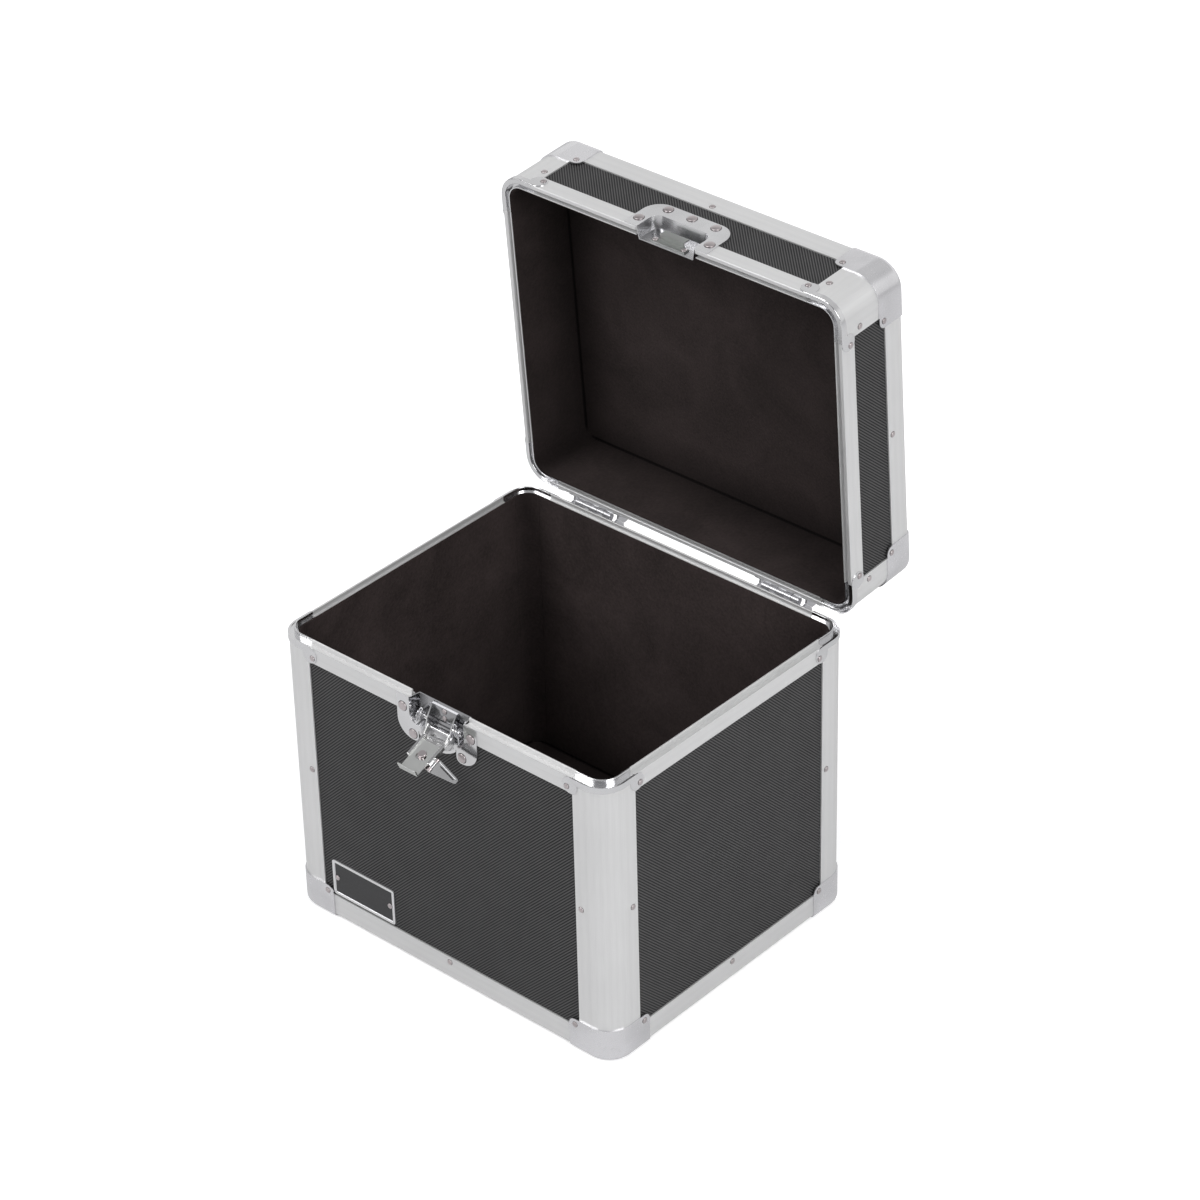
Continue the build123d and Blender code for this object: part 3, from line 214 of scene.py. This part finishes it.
def ribbed_aluminium(name, across, on_lid=False):
    """Silver extrusion with fine ribs along its length; across is "height", or "corner" on posts."""
    mat, tree, shader = new_material(name)
    place = place_of(tree, on_lid)
    if across == "corner":
        from_middle = distance_to(tree, place, "X", 0.0)
        along = calc(tree, "SUBTRACT", from_middle, distance_to(tree, place, "Y", 0.0))
        long_axis = (1.0, 1.0, 0.03)
    else:
        along = axis_value(tree, place, "Z")
        long_axis = (0.03, 0.03, 1.0)
    rib = wave(tree, along, extrusion_pitch)
    broad = wave(tree, along, broad_pitch)
    drawn = noise(tree, stretched(tree, place, long_axis), 1400.0, 2.0)
    cloud = noise(tree, place, 9.0, 3.0)
    shade = mixed(tree, [(broad, 0.08), (cloud, 0.40), (drawn, 0.38), (rib, 0.14)])
    colour = ramp(tree, shade, [(0.2, (0.62, 0.62, 0.62)), (0.8, (0.75, 0.75, 0.75))])
    tree.links.new(colour, shader.inputs["Base Color"])
    shader.inputs["Metallic"].default_value = 0.6
    tree.links.new(remap(tree, drawn, 0.3, 0.7, 0.36, 0.46), shader.inputs["Roughness"])
    bump(tree, shader, mixed(tree, [(rib, 1.0), (drawn, 0.3)]), 0.03 * mm, 0.3)
    return mat


def plated(name, base, roughness, dents=0.35, tint=0.03, on_lid=False):
    """Bright plated steel: faint press marks, streaks and a little haze."""
    mat, tree, shader = new_material(name)
    place = place_of(tree, on_lid)
    haze = noise(tree, place, 24.0, 2.0)
    scuff = noise(tree, stretched(tree, place, (1.0, 3.0, 1.0)), 420.0, 4.0, 0.7)
    dark = tuple(part * (1.0 - 4 * tint) for part in base)
    tree.links.new(ramp(tree, haze, [(0.3, dark), (0.62, base)]), shader.inputs["Base Color"])
    shader.inputs["Metallic"].default_value = 1.0
    rough = calc(tree, "MULTIPLY_ADD", scuff, 0.10, roughness - 0.03)
    tree.links.new(rough, shader.inputs["Roughness"])
    bump(tree, shader, mixed(tree, [(haze, 1.0), (scuff, 0.03)]), 0.06 * mm, dents)
    return mat


def deep_chrome(name, roughness, recess_shade, on_lid=False):
    """Plate with painted shade: darker the deeper it lies behind the front of the latch dish."""
    mat = plated(name, (0.80, 0.80, 0.81), roughness, on_lid=on_lid)
    tree = mat.node_tree
    colour = tree.nodes["Principled BSDF"].inputs["Base Color"]
    low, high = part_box("latch_dish")
    depth = high.y - low.y
    behind = calc(tree, "SUBTRACT", axis_value(tree, place_of(tree, on_lid), "Y"), low.y)
    # painted shade in the dish's hollow: the plate's colour darkens with depth
    shade_in_recess = remap(tree, behind, 0.1 * depth, 0.7 * depth, 0.0, recess_shade)
    tree.links.new(blend(tree, shade_in_recess, colour.links[0].from_socket, (0.14, 0.14, 0.15, 1)), colour)
    return mat


def painted_joint_shade(tree, place, room, level):
    """Painted shade at the joints of a lining whose walls stand round a room, on a sheet at one level: a dark line
    painted in each crease, and a darkening that fades away from it.
    """
    low, high = room
    middle = (low + high) / 2
    reach = (high - low) / 2
    from_side = calc(tree, "SUBTRACT", reach.x, distance_to(tree, place, "X", middle.x))
    from_end = calc(tree, "SUBTRACT", reach.y, distance_to(tree, place, "Y", middle.y))
    from_sheet = distance_to(tree, place, "Z", level)
    nearer = calc(tree, "MINIMUM", from_side, from_end)
    farther = calc(tree, "MAXIMUM", from_side, from_end)
    second = calc(tree, "MAXIMUM", nearer, calc(tree, "MINIMUM", farther, from_sheet))
    # a dark line painted in the crease, and painted shade that fades out away from the joint
    line = remap(tree, second, crease_line_width / 3, crease_line_width, 0.15, 1.0)
    shadow = remap(tree, second, 0.0, seam_shadow, 0.50, 1.0)
    return calc(tree, "MULTIPLY", line, shadow)


def velour(name, level, wear_and_painted_light, on_lid=False):
    """Short brown-black pile with brushed patches and sheen, with painted shade where its sheets meet.
    level is the flat sheet's height; the third argument scales the pile's colour as painted light."""
    mat, tree, shader = new_material(name)
    place = place_of(tree, on_lid)
    patch = noise(tree, place, 14.0, 5.0, 0.6, 0.6)
    pile = noise(tree, place, 2600.0, 2.0)
    fleck = noise(tree, place, 420.0, 3.0)
    # the pile's colour scaled by this copy's painted light level
    low_pile = tuple(part * wear_and_painted_light for part in (0.009, 0.0068, 0.0066))
    high_pile = tuple(part * wear_and_painted_light for part in (0.034, 0.0255, 0.0250))
    shade = mixed(tree, [(pile, 0.15), (fleck, 0.3), (patch, 0.55)])
    colour = ramp(tree, shade, [(0.36, low_pile), (0.66, high_pile)])
    # painted shade near the joints: the colour darkens and the sheen fades there
    corner_shade = painted_joint_shade(tree, place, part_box("base_floor_lining"), level)
    tree.links.new(blend(tree, corner_shade, (0.002, 0.0015, 0.0015, 1), colour), shader.inputs["Base Color"])
    tree.links.new(calc(tree, "MULTIPLY", corner_shade, 0.25), shader.inputs["Sheen Weight"])
    shader.inputs["Roughness"].default_value = 0.95
    shader.inputs["Specular IOR Level"].default_value = 0.12
    shader.inputs["Sheen Roughness"].default_value = 0.6
    shader.inputs["Sheen Tint"].default_value = (0.42, 0.33, 0.32, 1.0)
    bump(tree, shader, mixed(tree, [(fleck, 1.0), (pile, 0.5)]), 0.35 * mm, 0.6)
    return mat


def shut_height(name):
    """How high a lid piece's lowest point stands when the lid is shut."""
    piece = nodes[name]
    turn = Matrix.Rotation(lid_shut_angle, 3, "X")
    places = [piece.matrix_world @ vert.co for vert in piece.data.vertices]
    return min((turn @ (place - lid_axis) + lid_axis).z for place in places)


def rubber(name):
    """Black moulded rubber."""
    mat, tree, shader = new_material(name)
    grain = noise(tree, place_of(tree), 1500.0, 3.0)
    colour = ramp(tree, grain, [(0.3, (0.010, 0.010, 0.010)), (0.7, (0.022, 0.022, 0.022))])
    tree.links.new(colour, shader.inputs["Base Color"])
    tree.links.new(remap(tree, grain, 0.3, 0.7, 0.5, 0.65), shader.inputs["Roughness"])
    bump(tree, shader, grain, 0.1 * mm, 0.6)
    return mat


def timber(name):
    """Plain softwood with its grain upright."""
    mat, tree, shader = new_material(name)
    grain = noise(tree, stretched(tree, place_of(tree), (1.0, 1.0, 0.06)), 260.0, 4.0)
    colour = ramp(tree, grain, [(0.3, (0.30, 0.17, 0.08)), (0.7, (0.48, 0.32, 0.18))])
    tree.links.new(colour, shader.inputs["Base Color"])
    shader.inputs["Roughness"].default_value = 0.75
    bump(tree, shader, grain, 0.1 * mm, 0.4)
    return mat


def gap_shadow_paint(name):
    """Painted shadow: the dark line round a pressed-in part, where shade falls in the gap."""
    mat, tree, shader = new_material(name)
    spots = noise(tree, place_of(tree), 300.0)
    colour = ramp(tree, spots, [(0.3, (0.02, 0.018, 0.018)), (0.7, (0.05, 0.045, 0.045))])
    tree.links.new(colour, shader.inputs["Base Color"])
    shader.inputs["Roughness"].default_value = 0.8
    return mat


def bordered_plate(name):
    """A silver border round a black field; the field stays blank."""
    mat, tree, shader = new_material(name)
    place = place_of(tree)
    low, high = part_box("nameplate")
    centre = (low + high) / 2
    border = 3.0 * mm
    half_width = (high.x - low.x) / 2 - border
    half_height = (high.z - low.z) / 2 - border
    inside_x = calc(tree, "LESS_THAN", distance_to(tree, place, "X", centre.x), half_width)
    inside_z = calc(tree, "LESS_THAN", distance_to(tree, place, "Z", centre.z), half_height)
    inside = calc(tree, "MULTIPLY", inside_x, inside_z)
    grain = noise(tree, place, 700.0, 3.0)
    black = ramp(tree, grain, [(0.3, (0.018, 0.018, 0.019)), (0.7, (0.030, 0.030, 0.032))])
    silver = ramp(tree, grain, [(0.3, (0.78, 0.78, 0.79)), (0.7, (0.86, 0.86, 0.87))])
    tree.links.new(blend(tree, inside, silver, black), shader.inputs["Base Color"])
    tree.links.new(calc(tree, "MULTIPLY_ADD", inside, -0.85, 0.9), shader.inputs["Metallic"])
    tree.links.new(calc(tree, "MULTIPLY_ADD", inside, 0.12, 0.30), shader.inputs["Roughness"])
    bump(tree, shader, grain, 0.05 * mm, 0.4)
    return mat


chrome = plated("bright_chrome", (0.80, 0.80, 0.81), 0.09)
dish_chrome = deep_chrome("dish_chrome", 0.09, 0.62)
catch_chrome = deep_chrome("catch_chrome", 0.22, 0.45, on_lid=True)
trim = plated("chromed_trim", (0.80, 0.80, 0.81), 0.17)
latch_sheet = plated("latch_sheet", (0.80, 0.80, 0.795), 0.20)
hook_sheet = plated("hook_sheet", (0.66, 0.67, 0.655), 0.33, dents=0.12)
keeper_sheet = plated("keeper_sheet", (0.36, 0.37, 0.36), 0.36, dents=0.2)
wing_sheet = plated("wing_sheet", (0.50, 0.50, 0.51), 0.16)
corner_steel = plated("corner_steel", (0.86, 0.855, 0.875), 0.24)
hinge_steel = plated("hinge_steel", (0.60, 0.60, 0.62), 0.30)
spring_steel = plated("spring_steel", (0.72, 0.72, 0.74), 0.18)
rivet_metal = plated("rivet_metal", (0.62, 0.565, 0.57), 0.28, dents=0.6, tint=0.05)
gap_shadow = gap_shadow_paint("painted_gap_shadow")
# The base's and the lid's linings are one velour in a lit and a shaded copy: painted light makes the base's
# lighter and the lid's darker.
base_velour = velour("velour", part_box("base_floor_lining")[1].z, 1.3)
lid_velour = velour("lid_velour", shut_height("lid_top_lining"), 0.75, on_lid=True)


# ---------------------------------------------------------------- finish of the CAD pieces
def cover(names, mat):
    """The material on every slot of these CAD nodes, and on a new slot where there is none."""
    for name in names:
        mesh = nodes[name].data
        if not mesh.materials:
            mesh.materials.append(mat)
        for index in range(len(mesh.materials)):
            mesh.materials[index] = mat


cover(["base_front_panel"], laminate("laminate_front", (1, 0, -1)))
cover(["base_back_panel"], laminate("laminate_back", (1, 0, 1)))
cover(["base_side_panels", "base_floor_panel"], laminate("laminate_sides", (0, 1, 1)))
cover(["lid_front_panel"], laminate("lid_laminate_front", (1, 0, 1), on_lid=True))
cover(["lid_back_panel"], laminate("lid_laminate_back", (1, 0, -1), on_lid=True))
cover(["lid_side_panels"], laminate("lid_laminate_sides", (0, 1, -1), on_lid=True))
cover(["lid_top_panel"], laminate("lid_laminate_top", (1, 1, 0), on_lid=True))
cover(["base_wall_lining", "base_floor_lining", "base_corner_lining"], base_velour)
cover(["lid_wall_lining", "lid_top_lining", "lid_corner_lining"], lid_velour)
cover(["base_corner_cores", "lid_corner_cores"], timber("core_timber"))
cover(["base_corner_posts"], ribbed_aluminium("post_aluminium", "corner"))
cover(["lid_corner_posts"], ribbed_aluminium("lid_post_aluminium", "corner", on_lid=True))
cover(["base_edge_extrusions", "base_rim_extrusions"], ribbed_aluminium("edge_aluminium", "height"))
cover(["lid_edge_extrusions", "lid_rim_extrusions"],
      ribbed_aluminium("lid_edge_aluminium", "height", on_lid=True))
cover(["base_rim_corners", "lid_rim_corners"], trim)
cover(["base_steel_corners", "lid_steel_corners"], corner_steel)
cover(["latch_dish", "latch_bracket", "latch_pin"], dish_chrome)
cover(["catch_dish"], catch_chrome)
cover(["catch_keeper"], keeper_sheet)
cover(["latch_carriage"], latch_sheet)
cover(["latch_hook"], hook_sheet)
cover(["latch_wing"], wing_sheet)
cover(["latch_spindle"], rivet_metal)
cover(["latch_springs"], spring_steel)
cover(["latch_wing_pin", "handle_brackets", "handle_bail", "handle_pins"], chrome)
cover(["hinge_base_leaves", "hinge_lid_leaves", "hinge_pins"], hinge_steel)
cover(["handle_grip"], rubber("grip_rubber"))
cover(["nameplate"], bordered_plate("nameplate_face"))


def soften(names, width):
    """Rounds a node's sharp edges a little, in modifiers."""
    for name in names:
        piece = nodes[name]
        weld = piece.modifiers.new("weld", "WELD")
        weld.merge_threshold = 0.004 * mm
        edge = piece.modifiers.new("edge", "BEVEL")
        edge.width = width
        edge.segments = 2
        edge.limit_method = "ANGLE"
        edge.angle_limit = radians(35)
        edge.use_clamp_overlap = True
        edge.harden_normals = False
        normal = piece.modifiers.new("normal", "WEIGHTED_NORMAL")
        normal.keep_sharp = True


soften(["base_rim_extrusions", "lid_rim_extrusions", "base_rim_corners", "lid_rim_corners",
        "base_steel_corners", "lid_steel_corners", "hinge_base_leaves", "hinge_lid_leaves",
        "handle_brackets"], 0.25 * mm)
soften(["latch_dish", "catch_dish"], 0.30 * mm)
soften(["latch_bracket", "latch_carriage", "latch_hook", "latch_wing", "catch_keeper",
        "nameplate"], 0.18 * mm)
soften(["base_wall_lining", "base_floor_lining", "base_corner_lining",
        "lid_wall_lining", "lid_top_lining", "lid_corner_lining"], 0.6 * mm)


# ---------------------------------------------------------------- shared mesh tools
def circle(count):
    """The cosines and sines of evenly spaced angles."""
    return [(cos(tau * i / count), sin(tau * i / count)) for i in range(count)]


def join_rings(work, lower, upper, material_index=0):
    """A smooth band of faces between two rings, or a cone where the upper one is a point."""
    for i in range(len(lower)):
        j = (i + 1) % len(lower)
        top = [upper[0]] if len(upper) == 1 else [upper[j], upper[i]]
        face = work.faces.new([lower[i], lower[j], *top])
        face.smooth = True
        face.material_index = material_index


def revolve(work, profile, seat, steps, material_index=0):
    """A profile of (radius, height) points turned about a seat's z axis; it may end on the axis."""
    rings = []
    for radius, height in profile:
        around = circle(steps) if radius > 0 else [(0, 0)]
        rings.append([work.verts.new(seat @ Vector((radius * x, radius * y, height))) for x, y in around])
    for lower, upper in zip(rings, rings[1:]):
        join_rings(work, lower, upper, material_index)


def finished(work, name, materials, node):
    """A piece from a bmesh, standing for a CAD node and riding on that node's body."""
    mesh = bpy.data.meshes.new(name)
    work.to_mesh(mesh)
    work.free()
    for mat in materials:
        mesh.materials.append(mat)
    piece = bpy.data.objects.new(name, mesh)
    bpy.context.scene.collection.objects.link(piece)
    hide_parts(node)
    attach(piece, body_of[node])


# ---------------------------------------------------------------- rivets
rivet_steps = 28
# the rivet's dark ring is painted shadow under the head's edge
rivet_ring_share = 0.10     # the dark ring's width, as a share of the head's radius
# the domed outline inside the ring: shares of the ring's inner radius and of the head's height
rivet_dome = [(1.0, 0.32), (0.965, 0.5), (0.86, 0.68), (0.68, 0.83), (0.42, 0.94), (0.2, 0.985), (0.0, 1.0)]


def islands(mesh):
    """The points of each separate piece of a mesh, as arrays."""
    work = bmesh.new()
    work.from_mesh(mesh)
    bmesh.ops.remove_doubles(work, verts=work.verts, dist=0.01 * mm)
    seen = set()
    found = []
    for start in work.verts:
        if start in seen:
            continue
        seen.add(start)
        group = [start]
        for vert in group:
            for edge in vert.link_edges:
                other = edge.other_vert(vert)
                if other not in seen:
                    seen.add(other)
                    group.append(other)
        found.append(np.array([vert.co[:] for vert in group]))
    work.free()
    return found


def rivet_seat(points):
    """A plain head's place, with z out of the sheet that it sits on, and its radius and height."""
    middle = points.mean(axis=0)
    axis = np.linalg.eigh(np.cov((points - middle).T))[1][:, 0]
    along = (points - middle) @ axis
    radii = np.linalg.norm((points - middle) - np.outer(along, axis), axis=1)
    if radii[along < 0].max() < radii[along > 0].max():
        axis = -axis
        along = -along
    turn = Vector((0, 0, 1)).rotation_difference(Vector(axis)).to_matrix().to_4x4()
    seat = Matrix.Translation(Vector(middle + axis * along.min())) @ turn
    return seat, float(radii.max()), float(along.max() - along.min())


def domed_rivets(node):
    """Domed heads in place of a node's plain ones, each in a thin dark ring of painted shadow."""
    work = bmesh.new()
    for points in islands(nodes[node].data):
        seat, head, height = rivet_seat(points)
        rim = head * (1 - rivet_ring_share)
        # a thin disc under the head's edge, coloured as painted shadow
        shadow_ring = [(head, 0.0), (head, 0.04 * mm), (rim, 0.05 * mm)]
        dome = [(rim, 0.02 * mm)] + [(rim * across, height * up) for across, up in rivet_dome]
        revolve(work, shadow_ring, seat, rivet_steps, 1)
        revolve(work, dome, seat, rivet_steps)
    finished(work, node + "_domed", [rivet_metal, gap_shadow], node)


for name in nodes:
    if name.endswith("rivets"):
        domed_rivets(name)


# ---------------------------------------------------------------- torsion springs of the latch
spring_low, spring_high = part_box("latch_springs")
spring_centre = (spring_low + spring_high) / 2
spring_wire = 0.55 * mm     # radius of the wire
spring_coil = (spring_high.z - spring_low.z) / 2 - spring_wire
spring_outer = spring_high.x - 0.8 * mm
spring_turns = 2
spring_pitch = 1.9 * mm
turn_steps = 18
leg_steps = 8               # also the steps of the hook's half turn
tail_steps = 5
lower_leg = 8.0 * mm
upper_leg = (2.0 * mm, 1.5 * mm, 7.5 * mm)     # inward, back and up
hook_radius = 1.3 * mm
hook_tail = 5.0 * mm
stud_share = 0.55           # the stud's radius, as a share of the room inside the coil
stud_over = 0.4 * mm        # how far the stud stands out past the coil's outer turn
stud_chamfer = 0.5 * mm
stud_steps = 24


def side_name(side):
    """What a piece is called on the side of -X or +X."""
    return "left" if side < 0 else "right"


def spring_path(side):
    """The wire's middle line: a leg down the dish, the turns, and a leg up that ends in a hook."""
    outer = side * spring_outer
    front = spring_centre.y - spring_coil
    path = []
    for step in range(leg_steps, 0, -1):
        path.append(Vector((outer, front, spring_centre.z - lower_leg * step / leg_steps)))
    for step in range(spring_turns * turn_steps + 1):
        angle = tau * step / turn_steps
        path.append(Vector((outer - side * spring_pitch * step / turn_steps,
                            spring_centre.y - spring_coil * cos(angle),
                            spring_centre.z + spring_coil * sin(angle))))
    inward, backward, upward = upper_leg
    leg = Vector((-side * inward, backward, upward))
    foot = path[-1]
    path.extend(foot + leg * (step / leg_steps) for step in range(1, leg_steps + 1))
    head = path[-1]
    along = leg.normalized()
    outward = Vector((side * hook_radius, 0, 0))
    for step in range(1, leg_steps + 1):
        angle = pi * step / leg_steps
        path.append(head + outward * (1 - cos(angle)) + along * (hook_radius * sin(angle)))
    tail = path[-1]
    path.extend(tail - along * (hook_tail * step / tail_steps) for step in range(1, tail_steps + 1))
    return path


def wire_along(work, path, radius, steps=10):
    """A round wire along a list of points, with closed ends."""
    rings = []
    side = None
    for index, point in enumerate(path):
        before = path[max(index - 1, 0)]
        after = path[min(index + 1, len(path) - 1)]
        ahead = (after - before).normalized()
        if side is None:
            side = ahead.orthogonal().normalized()
        side = (side - ahead * side.dot(ahead)).normalized()
        other = ahead.cross(side)
        rings.append([work.verts.new(point + (side * x + other * y) * radius) for x, y in circle(steps)])
    for lower, upper in zip(rings, rings[1:]):
        join_rings(work, lower, upper)
    work.faces.new(list(reversed(rings[0])))
    work.faces.new(rings[-1])


def latch_spring(side):
    """The wound wire of one torsion spring."""
    work = bmesh.new()
    wire_along(work, spring_path(side), spring_wire)
    finished(work, "latch_spring_" + side_name(side), [spring_steel], "latch_springs")


def spring_stud(side):
    """The stud inside a torsion spring, from the bracket's ear out."""
    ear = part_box("latch_bracket")[1].x
    length = spring_outer - ear + stud_over
    radius = stud_share * (spring_coil - spring_wire)
    foot = Matrix.Translation((side * ear, spring_centre.y, spring_centre.z))
    seat = foot @ Matrix.Rotation(side * pi / 2, 4, "Y")
    profile = [(radius, 0.0), (radius, length - stud_chamfer), (0.8 * radius, length), (0.0, length)]
    work = bmesh.new()
    revolve(work, profile, seat, stud_steps)
    finished(work, "spring_stud_" + side_name(side), [chrome], "latch_springs")


for side in (-1, 1):
    latch_spring(side)
    spring_stud(side)


# ---------------------------------------------------------------- stage, light and camera
def floor():
    """A pale floor that keeps the case's shadow; metal reflects it as a greyer one."""
    bpy.ops.mesh.primitive_plane_add(size=40.0, location=(0, 0, floor_height - 0.2 * mm))
    piece = bpy.context.object
    piece.name = "floor"
    mat, tree, shader = new_material("floor_white")
    shader.inputs["Roughness"].default_value = 0.9
    shader.inputs["Specular IOR Level"].default_value = 0.0
    path = put(tree, "ShaderNodeLightPath")
    in_mirror = path.outputs["Is Glossy Ray"]
    tree.links.new(blend(tree, in_mirror, (0.93, 0.93, 0.935, 1), (0.34, 0.34, 0.345, 1)),
                   shader.inputs["Base Color"])
    shader.inputs["Emission Color"].default_value = (1, 1, 1, 1)
    seen = calc(tree, "MAXIMUM", path.outputs["Is Camera Ray"], in_mirror)
    tree.links.new(calc(tree, "MULTIPLY", seen, 0.30), shader.inputs["Emission Strength"])
    piece.data.materials.append(mat)


def mirrored_room(tree):
    """What metal reflects: a grey room with a bright band, darker at the right front, lighter behind."""
    way = put(tree, "ShaderNodeTexCoord").outputs["Generated"]
    height = remap(tree, axis_value(tree, way, "Z"), -0.2, 1.0, 0.0, 1.0)
    room = ramp(tree, height, [
        (0.0, (0.10, 0.10, 0.11)), (0.26, (0.16, 0.16, 0.17)), (0.42, (0.78, 0.78, 0.78)),
        (0.60, (0.85, 0.85, 0.85)), (0.70, (0.20, 0.20, 0.21)), (0.86, (0.26, 0.26, 0.27)),
        (1.0, (0.74, 0.74, 0.74))])
    lighter = ramp(tree, height, [
        (0.42, (0.78, 0.78, 0.78)), (0.60, (0.85, 0.85, 0.85)), (0.70, (0.56, 0.56, 0.565)),
        (0.86, (0.62, 0.62, 0.62)), (1.0, (0.74, 0.74, 0.74))])
    behind = remap(tree, axis_value(tree, way, "Y"), 0.30, 0.55, 0.0, 1.0)
    dark_side = remap(tree, dot(tree, way, (0.62, -0.70, 0.35)), 0.35, 0.80, 0.0, 0.45)
    return blend(tree, dark_side, blend(tree, behind, room, lighter), (0.07, 0.07, 0.075, 1))


def surround():
    """Even soft light from all round, with the mirrored room in reflections and white behind."""
    world = bpy.data.worlds.new("surround")
    bpy.context.scene.world = world
    world.use_nodes = True
    tree = world.node_tree
    shader = tree.nodes["Background"]
    path = put(tree, "ShaderNodeLightPath")
    lit = blend(tree, path.outputs["Is Glossy Ray"], (0.52, 0.52, 0.525, 1), mirrored_room(tree))
    tree.links.new(blend(tree, path.outputs["Is Camera Ray"], lit, (1, 1, 1, 1)), shader.inputs["Color"])
    shader.inputs["Strength"].default_value = 1.0


def lamp(name, place, size, power, mirrored=True):
    """A rectangular soft lamp aimed at the case; mirrored is whether metal shows it."""
    light = bpy.data.lights.new(name, "AREA")
    light.shape = "RECTANGLE"
    light.size, light.size_y = size
    light.energy = power
    holder = bpy.data.objects.new(name, light)
    bpy.context.scene.collection.objects.link(holder)
    holder.location = place
    holder.visible_glossy = mirrored
    aim = Vector((0, 0, 0.2))
    holder.rotation_euler = (aim - Vector(place)).to_track_quat("-Z", "Y").to_euler()


def camera():
    """The camera: angles in degrees, distances in metres, focal length in pixels of a 1200-pixel frame."""
    azimuth = radians(42.27)
    elevation = radians(33.18)
    roll = radians(-1.53)
    distance = 3.3803
    target = Vector((0.0423, 0.0, 0.32376 + floor_height))
    focal_pixels = 4122.86
    frame_pixels = 1200.0
    back = Vector((sin(azimuth) * cos(elevation), -cos(azimuth) * cos(elevation), sin(elevation)))
    right = Vector((cos(azimuth), sin(azimuth), 0))
    up = back.cross(right)
    turned_right = right * cos(roll) + up * sin(roll)
    turned_up = up * cos(roll) - right * sin(roll)
    data = bpy.data.cameras.new("camera")
    data.sensor_fit = "HORIZONTAL"
    data.sensor_width = 36.0
    data.lens = focal_pixels / frame_pixels * data.sensor_width
    data.clip_end = 60.0
    holder = bpy.data.objects.new("camera", data)
    bpy.context.scene.collection.objects.link(holder)
    turn = Matrix((turned_right, turned_up, back)).transposed()
    holder.matrix_world = Matrix.Translation(target + back * distance) @ turn.to_4x4()
    bpy.context.scene.camera = holder


floor()
surround()
lamp("key", (-1.6, -2.6, 3.4), (2.2, 2.2), 84)
lamp("side", (3.2, -0.6, 2.2), (1.8, 2.4), 72)
lamp("top", (0.2, 0.6, 3.6), (2.6, 2.0), 25, mirrored=False)
camera()
bpy.context.scene.view_settings.view_transform = "Standard"
